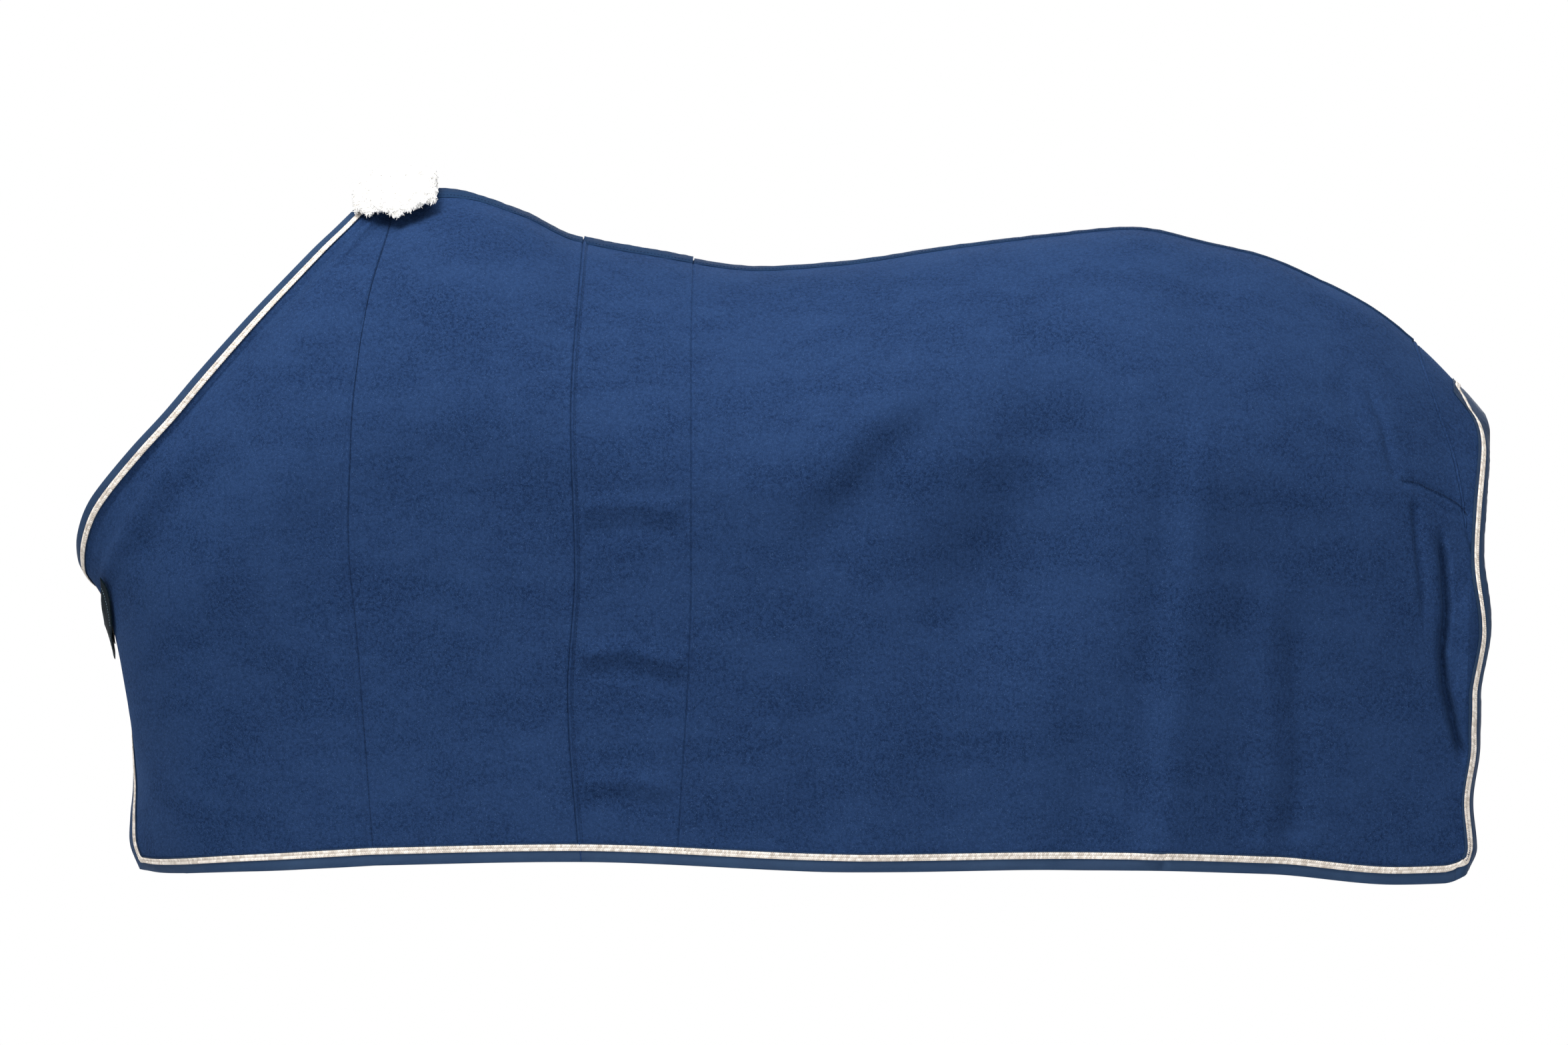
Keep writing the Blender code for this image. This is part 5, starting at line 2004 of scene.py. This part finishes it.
def nap_group() -> bpy.types.NodeTree:
    """Pile: clumps of fibre, fine mottling, single pale fibres and broad streaks, which are partly uneven
    tone and partly painted sheen of the pile's lay.

    Returns:
        The group.
    """
    def wire(bench: Bench, entry: bpy.types.Node) -> Wired:
        """Adds the nodes.

        Args:
            bench: The tree being wired.
            entry: The group's input node.

        Returns:
            The output sockets.
        """
        place, size = bench.place(), bench.maths("DIVIDE", 1.0, entry.outputs["Clump"])
        clump = bench.noise(place, size, 3.0, 0.62)
        fine = bench.noise(place, bench.maths("MULTIPLY", size, 3.1), 2.0, 0.6)
        streaks = bench.node("Mapping", {"Vector": place, "Scale": (0.55, 1.0, 1.25)}).outputs[0]
        # Broad streaks: partly uneven tone, partly painted sheen where the pile lies another way.
        brushed = bench.noise(streaks, bench.maths("MULTIPLY", size, 0.055), 5.0, 0.66)
        fleck = bench.noise(place, bench.maths("MULTIPLY", size, 4.6), 0.0)
        pile = bench.maths("ADD", bench.maths("MULTIPLY", clump, 0.62), bench.maths("MULTIPLY", fine, 0.38))
        colour = bench.blend(bench.spread(pile, 0.36, 0.62), entry.outputs["Deep"], entry.outputs["Base"])
        tone = bench.blend(bench.spread(brushed, 0.34, 0.66), colour, entry.outputs["Brushed"])
        colour = bench.blend(0.38, colour, tone)
        single = bench.maths("MULTIPLY", bench.spread(fleck, 0.70, 0.80), entry.outputs["Fleck"])
        colour = bench.blend(single, colour, entry.outputs["Bright"])
        return {"Color": colour, "Height": pile, "Roughness": bench.spread(pile, 0.2, 0.8, 0.98, 0.84)}

    return node_group("nap", {"Base": (0.5, 0.5, 0.5), "Deep": (0.2, 0.2, 0.2), "Bright": (0.8, 0.8, 0.8),
                              "Brushed": (0.6, 0.6, 0.6), "Clump": 0.003, "Fleck": 0.3},
                      ("Color", "Height", "Roughness"), wire)


def weave_group() -> bpy.types.NodeTree:
    """Woven yarns: slanting twill lines crossed by finer ones.

    Returns:
        The group.
    """
    def wire(bench: Bench, entry: bpy.types.Node) -> Wired:
        """Adds the nodes.

        Args:
            bench: The tree being wired.
            entry: The group's input node.

        Returns:
            The output sockets.
        """
        along, across = bench.lay()
        turns = bench.maths("DIVIDE", 2 * math.pi, entry.outputs["Pitch"])
        slant = bench.maths("ADD", along, bench.maths("MULTIPLY", across, entry.outputs["Slant"]))
        lines = bench.maths("SINE", bench.maths("MULTIPLY", slant, turns))
        other = bench.maths("SUBTRACT", across, bench.maths("MULTIPLY", along, entry.outputs["Slant"]))
        cross = bench.maths("SINE", bench.maths("MULTIPLY", other, bench.maths("MULTIPLY", turns, 1.7)))
        height = bench.maths("ADD", bench.maths("MULTIPLY", lines, 0.34),
                             bench.maths("MULTIPLY", cross, 0.16))
        fuzz = bench.noise(bench.place(), 900.0, 3.0)
        height = bench.maths("ADD", bench.maths("ADD", height, 0.5), bench.maths("MULTIPLY", fuzz, 0.25))
        colour = bench.blend(bench.spread(height, 0.1, 1.1), entry.outputs["Dark"], entry.outputs["Light"])
        return {"Color": colour, "Height": height}

    return node_group("weave", {"Light": (0.5, 0.5, 0.5), "Dark": (0.2, 0.2, 0.2), "Pitch": 0.0012,
                                "Slant": 1.0}, ("Color", "Height"), wire)


def wear_group() -> bpy.types.NodeTree:
    """Handling: cloudy pale patches and small rubbed spots.

    Returns:
        The group.
    """
    def wire(bench: Bench, entry: bpy.types.Node) -> Wired:
        """Adds the nodes.

        Args:
            bench: The tree being wired.
            entry: The group's input node.

        Returns:
            The output sockets.
        """
        place = bench.place()
        cloudy = bench.spread(bench.noise(place, 14.0, 4.0, 0.6), 0.42, 0.72)
        rubbed = bench.spread(bench.noise(place, 230.0, 3.0, 0.7), 0.58, 0.74)
        mask = bench.maths("MULTIPLY", bench.maths("MAXIMUM", cloudy, rubbed), entry.outputs["Amount"])
        return {"Color": bench.blend(mask, entry.outputs["Clean"], entry.outputs["Worn"]), "Mask": mask}

    return node_group("wear", {"Clean": (0.5, 0.5, 0.5), "Worn": (0.6, 0.6, 0.6), "Amount": 0.3},
                      ("Color", "Mask"), wire)


def yarn_group() -> bpy.types.NodeTree:
    """Spun yarn: fibres along it and a tone of its own for each yarn.

    Returns:
        The group.
    """
    def wire(bench: Bench, entry: bpy.types.Node) -> Wired:
        """Adds the nodes.

        Args:
            bench: The tree being wired.
            entry: The group's input node.

        Returns:
            The output sockets.
        """
        along, across = bench.lay()
        tone = bench.maths("FLOOR", bench.maths("DIVIDE", along, entry.outputs["Pitch"]))
        number = bench.node("CombineXYZ", {0: tone, 1: bench.maths("SIGN", across)}).outputs[0]
        chance = bench.node("TexWhiteNoise", {0: number}).outputs[0]
        spun = bench.node("CombineXYZ", {0: bench.maths("MULTIPLY", along, 2600.0),
                                         1: bench.maths("MULTIPLY", across, 900.0)}).outputs[0]
        fibre = bench.noise(spun, 1.0, 3.0, 0.7)
        share = bench.maths("ADD", bench.maths("MULTIPLY", chance, 0.45),
                            bench.maths("MULTIPLY", fibre, 0.55))
        colour = bench.blend(bench.spread(share, 0.15, 0.8), entry.outputs["Dark"], entry.outputs["Light"])
        return {"Color": colour, "Height": fibre}

    return node_group("yarn", {"Light": (0.8, 0.8, 0.8), "Dark": (0.4, 0.4, 0.4), "Pitch": 0.003},
                      ("Color", "Height"), wire)


@dataclass(frozen=True)
class Finish:
    """A finish: what it is called, a slot label that nothing reads, its shine and its relief."""

    name: str
    slot: str
    light: Colour
    dark: Colour
    roughness: float
    relief: float
    sheen: float = 0.0
    sheen_tint: Colour = (1.0, 1.0, 1.0)
    specular: float = 0.35

    def material(self) -> bpy.types.Material:
        """The finish's material, made once.

        Returns:
            The material.
        """
        found = bpy.data.materials.get(self.name)
        if found:
            return found
        made = bpy.data.materials.new(self.name)
        made.use_nodes = True
        made.diffuse_color = (*self.light, 1.0)
        bench = Bench(made.node_tree)
        shader = made.node_tree.nodes["Principled BSDF"]
        for name, value in (("Roughness", self.roughness), ("Sheen Weight", self.sheen),
                            ("Sheen Roughness", 0.45), ("Sheen Tint", (*self.sheen_tint, 1.0)),
                            ("Specular IOR Level", self.specular)):
            shader.inputs[name].default_value = value
        colour, height, rough = self.surface(bench)
        bump = bench.node("Bump", {"Strength": 1.0, "Distance": self.relief, "Height": height})
        made.node_tree.links.new(colour, shader.inputs["Base Color"])
        made.node_tree.links.new(bump.outputs[0], shader.inputs["Normal"])
        made.node_tree.links.new(rough, shader.inputs["Roughness"])
        return made

    def surface(self, bench: Bench) -> tuple[Socket, Socket, Socket]:
        """Wires the finish. Returns its colour, height and roughness sockets."""
        raise NotImplementedError

    def grouped(self, bench: Bench, tree: bpy.types.NodeTree,
                **values: Socket | float | Colour) -> bpy.types.Node:
        """Places a shared group with its own values.

        Args:
            bench: The tree being wired.
            tree: The group.
            values: Its own values.

        Returns:
            The placed group's node.
        """
        group = bench.node("Group", node_tree=tree)
        for name, value in values.items():
            socket = group.inputs[name.capitalize()]
            if isinstance(value, Socket):
                bench.tree.links.new(value, socket)
            else:
                socket.default_value = (*value, 1.0) if isinstance(value, tuple) else value
        return group


@dataclass(frozen=True)
class Napped(Finish):
    """Fleece or sheepskin."""

    bright: Colour = (0.5, 0.5, 0.5)
    # Colour of the broad streaks in the pile: partly uneven tone, partly painted sheen.
    brushed: Colour = (0.5, 0.5, 0.5)
    clump: float = 0.003
    fleck: float = 0.3

    def surface(self, bench: Bench) -> tuple[Socket, Socket, Socket]:
        """Wires the pile.

        Args:
            bench: The tree being wired.

        Returns:
            Its colour, height and roughness sockets.
        """
        nap = self.grouped(bench, nap_group(), base=self.light, deep=self.dark, bright=self.bright,
                           brushed=self.brushed, clump=self.clump, fleck=self.fleck)
        worn = self.grouped(bench, wear_group(), clean=nap.outputs["Color"], worn=self.brushed, amount=0.12)
        return worn.outputs["Color"], nap.outputs["Height"], nap.outputs["Roughness"]


@dataclass(frozen=True)
class Woven(Finish):
    """Satin, webbing, hook or loop tape."""

    pitch: float = 0.0012
    slant: float = 1.0
    worn: Colour = (0.2, 0.2, 0.2)

    def surface(self, bench: Bench) -> tuple[Socket, Socket, Socket]:
        """Wires the weave and its wear.

        Args:
            bench: The tree being wired.

        Returns:
            Its colour, height and roughness sockets.
        """
        weave = self.grouped(bench, weave_group(), light=self.light, dark=self.dark, pitch=self.pitch,
                             slant=self.slant)
        worn = self.grouped(bench, wear_group(), clean=weave.outputs["Color"], worn=self.worn, amount=0.35)
        rough = bench.spread(worn.outputs["Mask"], 0.0, 0.4, self.roughness, self.roughness + 0.2)
        return worn.outputs["Color"], weave.outputs["Height"], rough


@dataclass(frozen=True)
class Plaited(Finish):
    """Yarn or thread."""

    pitch: float = 0.0027

    def surface(self, bench: Bench) -> tuple[Socket, Socket, Socket]:
        """Wires the yarn.

        Args:
            bench: The tree being wired.

        Returns:
            Its colour, height and roughness sockets.
        """
        yarn = self.grouped(bench, yarn_group(), light=self.light, dark=self.dark, pitch=self.pitch)
        worn = self.grouped(bench, wear_group(), clean=yarn.outputs["Color"], worn=self.dark, amount=0.25)
        rough = bench.spread(yarn.outputs["Height"], 0.3, 0.7, self.roughness + 0.1, self.roughness - 0.1)
        return worn.outputs["Color"], yarn.outputs["Height"], rough


# The fleece's streak colour is partly uneven tone and partly painted sheen of the pile.
FLEECE = Napped("napped_fleece", "fleece", (0.0125, 0.0330, 0.0925), (0.0050, 0.0145, 0.0450), 0.93, 0.0012,
                sheen=0.06, sheen_tint=(0.2, 0.45, 1.0), specular=0.06, bright=(0.060, 0.115, 0.245),
                brushed=(0.0175, 0.0430, 0.1130), clump=0.0038, fleck=0.6)
SATIN = Woven("edge_satin", "satin_binding", (0.022, 0.055, 0.120), (0.008, 0.022, 0.058), 0.5, 0.00022,
              specular=0.14, pitch=0.0011, worn=(0.040, 0.078, 0.145))
TAPE = Woven("spine_satin", "satin_binding", (0.0125, 0.0340, 0.0840), (0.0050, 0.0150, 0.0420), 0.75,
             0.00022, specular=0.04, pitch=0.0011, worn=(0.020, 0.048, 0.105))
YARN = Plaited("braid_yarn", "plaited_braid", (0.80, 0.745, 0.68), (0.46, 0.40, 0.34), 0.5, 0.00012)
THREAD = Plaited("navy_thread", "satin_binding", (0.010, 0.027, 0.075), (0.004, 0.012, 0.036), 0.7, 0.00008,
                 specular=0.1, pitch=0.0045)
PALE_THREAD = Plaited("strap_thread", "webbing", (0.16, 0.24, 0.28), (0.07, 0.11, 0.14), 0.55, 0.00008,
                      specular=0.2, pitch=0.0035)
WEBBING = Woven("chest_webbing", "webbing", (0.0018, 0.0090, 0.0150), (0.0006, 0.0030, 0.0055), 0.6, 0.0002,
                specular=0.06, pitch=0.0021, slant=0.35, worn=(0.003, 0.012, 0.019))
HOOKS = Woven("hook_tape", "hook_and_loop", (0.020, 0.024, 0.032), (0.004, 0.005, 0.007), 0.7, 0.0008,
              specular=0.2, pitch=0.0017, slant=0.0, worn=(0.03, 0.034, 0.04))
LOOPS = Woven("loop_tape", "hook_and_loop", (0.020, 0.026, 0.036), (0.006, 0.008, 0.012), 0.9, 0.0006,
              specular=0.1, pitch=0.0024, slant=0.6, worn=(0.03, 0.036, 0.046))
# The wool's streak colour is partly uneven tone and partly painted sheen of the pile.
WOOL = Napped("sheepskin_wool", "sheepskin", (0.88, 0.875, 0.865), (0.82, 0.80, 0.76), 0.95, 0.0002,
              sheen=0.1, specular=0.05, bright=(0.92, 0.92, 0.915), brushed=(0.86, 0.84, 0.79),
              clump=0.0035, fleck=0.3)


# ---------------------------------------------------------------- studio


@dataclass
class Studio:
    """Pale floor, soft lights and the camera."""

    floor: float = -1.60
    wide: float = 2.0062
    lens: float = 900.0
    sensor: float = 36.0
    centre: tuple[float, float] = (-0.0034, -0.3310)

    def build(self) -> None:
        """Makes everything round the rug."""
        self._floor()
        self._world()
        self._light("key", (-2.2, -2.5, 4.4), 2.4, 430.0)
        self._light("fill", (2.4, -4.9, 0.9), 3.4, 66.0)
        self._light("top", (0.6, -0.9, 3.4), 2.4, 90.0)
        self._light("back", (0.6, 4.4, 1.0), 3.0, 110.0)
        self._camera()
        view = bpy.context.scene.view_settings
        view.view_transform, view.look = "Standard", "None"

    def _floor(self) -> None:
        """A round pale floor, well below the hem as when the rug is worn."""
        turns = np.linspace(0, 2 * math.pi, 97)[:-1]
        rings = [np.stack([r * np.cos(turns), r * np.sin(turns), np.full(96, self.floor)], axis=-1)
                 for r in (0.01, 1.0, 2.5, 5.0, 9.0)]
        mesh = Mesh()
        points = np.stack([np.vstack([ring, ring[:1]]) for ring in rings])
        mesh.skin(points, points[..., :2])
        floor = mesh.make("studio_floor", solid=False)
        floor.data.materials.append(self._plaster())

    def _plaster(self) -> bpy.types.Material:
        """Matt pale floor paint with a faint mottle.

        Returns:
            The material.
        """
        made = bpy.data.materials.new("floor_paint")
        made.use_nodes = True
        bench = Bench(made.node_tree)
        shader = made.node_tree.nodes["Principled BSDF"]
        mottle = bench.noise(bench.place(), 3.0, 5.0)
        colour = bench.blend(bench.spread(mottle, 0.3, 0.7), (0.70, 0.70, 0.70), (0.74, 0.74, 0.735))
        made.node_tree.links.new(colour, shader.inputs["Base Color"])
        shader.inputs["Roughness"].default_value = 0.9
        return made

    def _world(self) -> None:
        """White round the horizon and below it, softer overhead."""
        world = bpy.data.worlds.new("studio")
        bpy.context.scene.world = world
        world.use_nodes = True
        bench = Bench(world.node_tree)
        way = bench.node("SeparateXYZ", {0: bench.node("TexCoord").outputs["Generated"]}).outputs[2]
        share = bench.spread(bench.maths("ABSOLUTE", way), 0.06, 0.22)
        colour = bench.blend(share, (1.0, 1.0, 1.0), (0.28, 0.29, 0.31))
        ground = world.node_tree.nodes["Background"]
        world.node_tree.links.new(colour, ground.inputs["Color"])
        ground.inputs["Strength"].default_value = 1.0

    def _light(self, name: str, place: Spot, size: float, power: float) -> None:
        """A square soft light aimed at the rug.

        Args:
            name: Its name.
            place: Where it stands.
            size: Side of its square.
            power: Watts.
        """
        data = bpy.data.lights.new(f"{name}_light", "AREA")
        data.size, data.energy = size, power
        light = bpy.data.objects.new(f"{name}_light", data)
        bpy.context.scene.collection.objects.link(light)
        light.location = place
        aim = Vector((0.0, 0.0, -0.35)) - Vector(place)
        light.rotation_euler = aim.to_track_quat("-Z", "Y").to_euler()
        light.visible_camera = False

    def _camera(self) -> None:
        """A long lens square to the rug's left side."""
        data = bpy.data.cameras.new("side_view")
        data.lens, data.sensor_width = self.lens, self.sensor
        camera = bpy.data.objects.new("side_view", data)
        bpy.context.scene.collection.objects.link(camera)
        away = self.wide * self.lens / self.sensor
        camera.location = (self.centre[0], CAD_LOW.y - away, self.centre[1])
        camera.rotation_euler = (math.pi / 2, 0.0, 0.0)
        data.clip_start, data.clip_end = 1.0, 400.0
        bpy.context.scene.camera = camera


def main() -> None:
    """Builds the rug, piece by piece, and its studio."""
    logging.basicConfig(level=logging.INFO, format="%(name)s: %(message)s", force=True)
    Studio().build()
    left, right = Skin("left"), Skin("right")
    for skin in (left, right):
        Fleece(skin).build(FLEECE, THREAD)
        for edge in Edge:
            EdgeTrim(skin, edge).build(SATIN, YARN, THREAD)
    SpineTapes(left, right).build(TAPE, THREAD)
    WithersPad().build(WOOL)
    ChestClosure(left, right).build(WEBBING, HOOKS, LOOPS, PALE_THREAD)


if __name__ == "__main__":
    main()
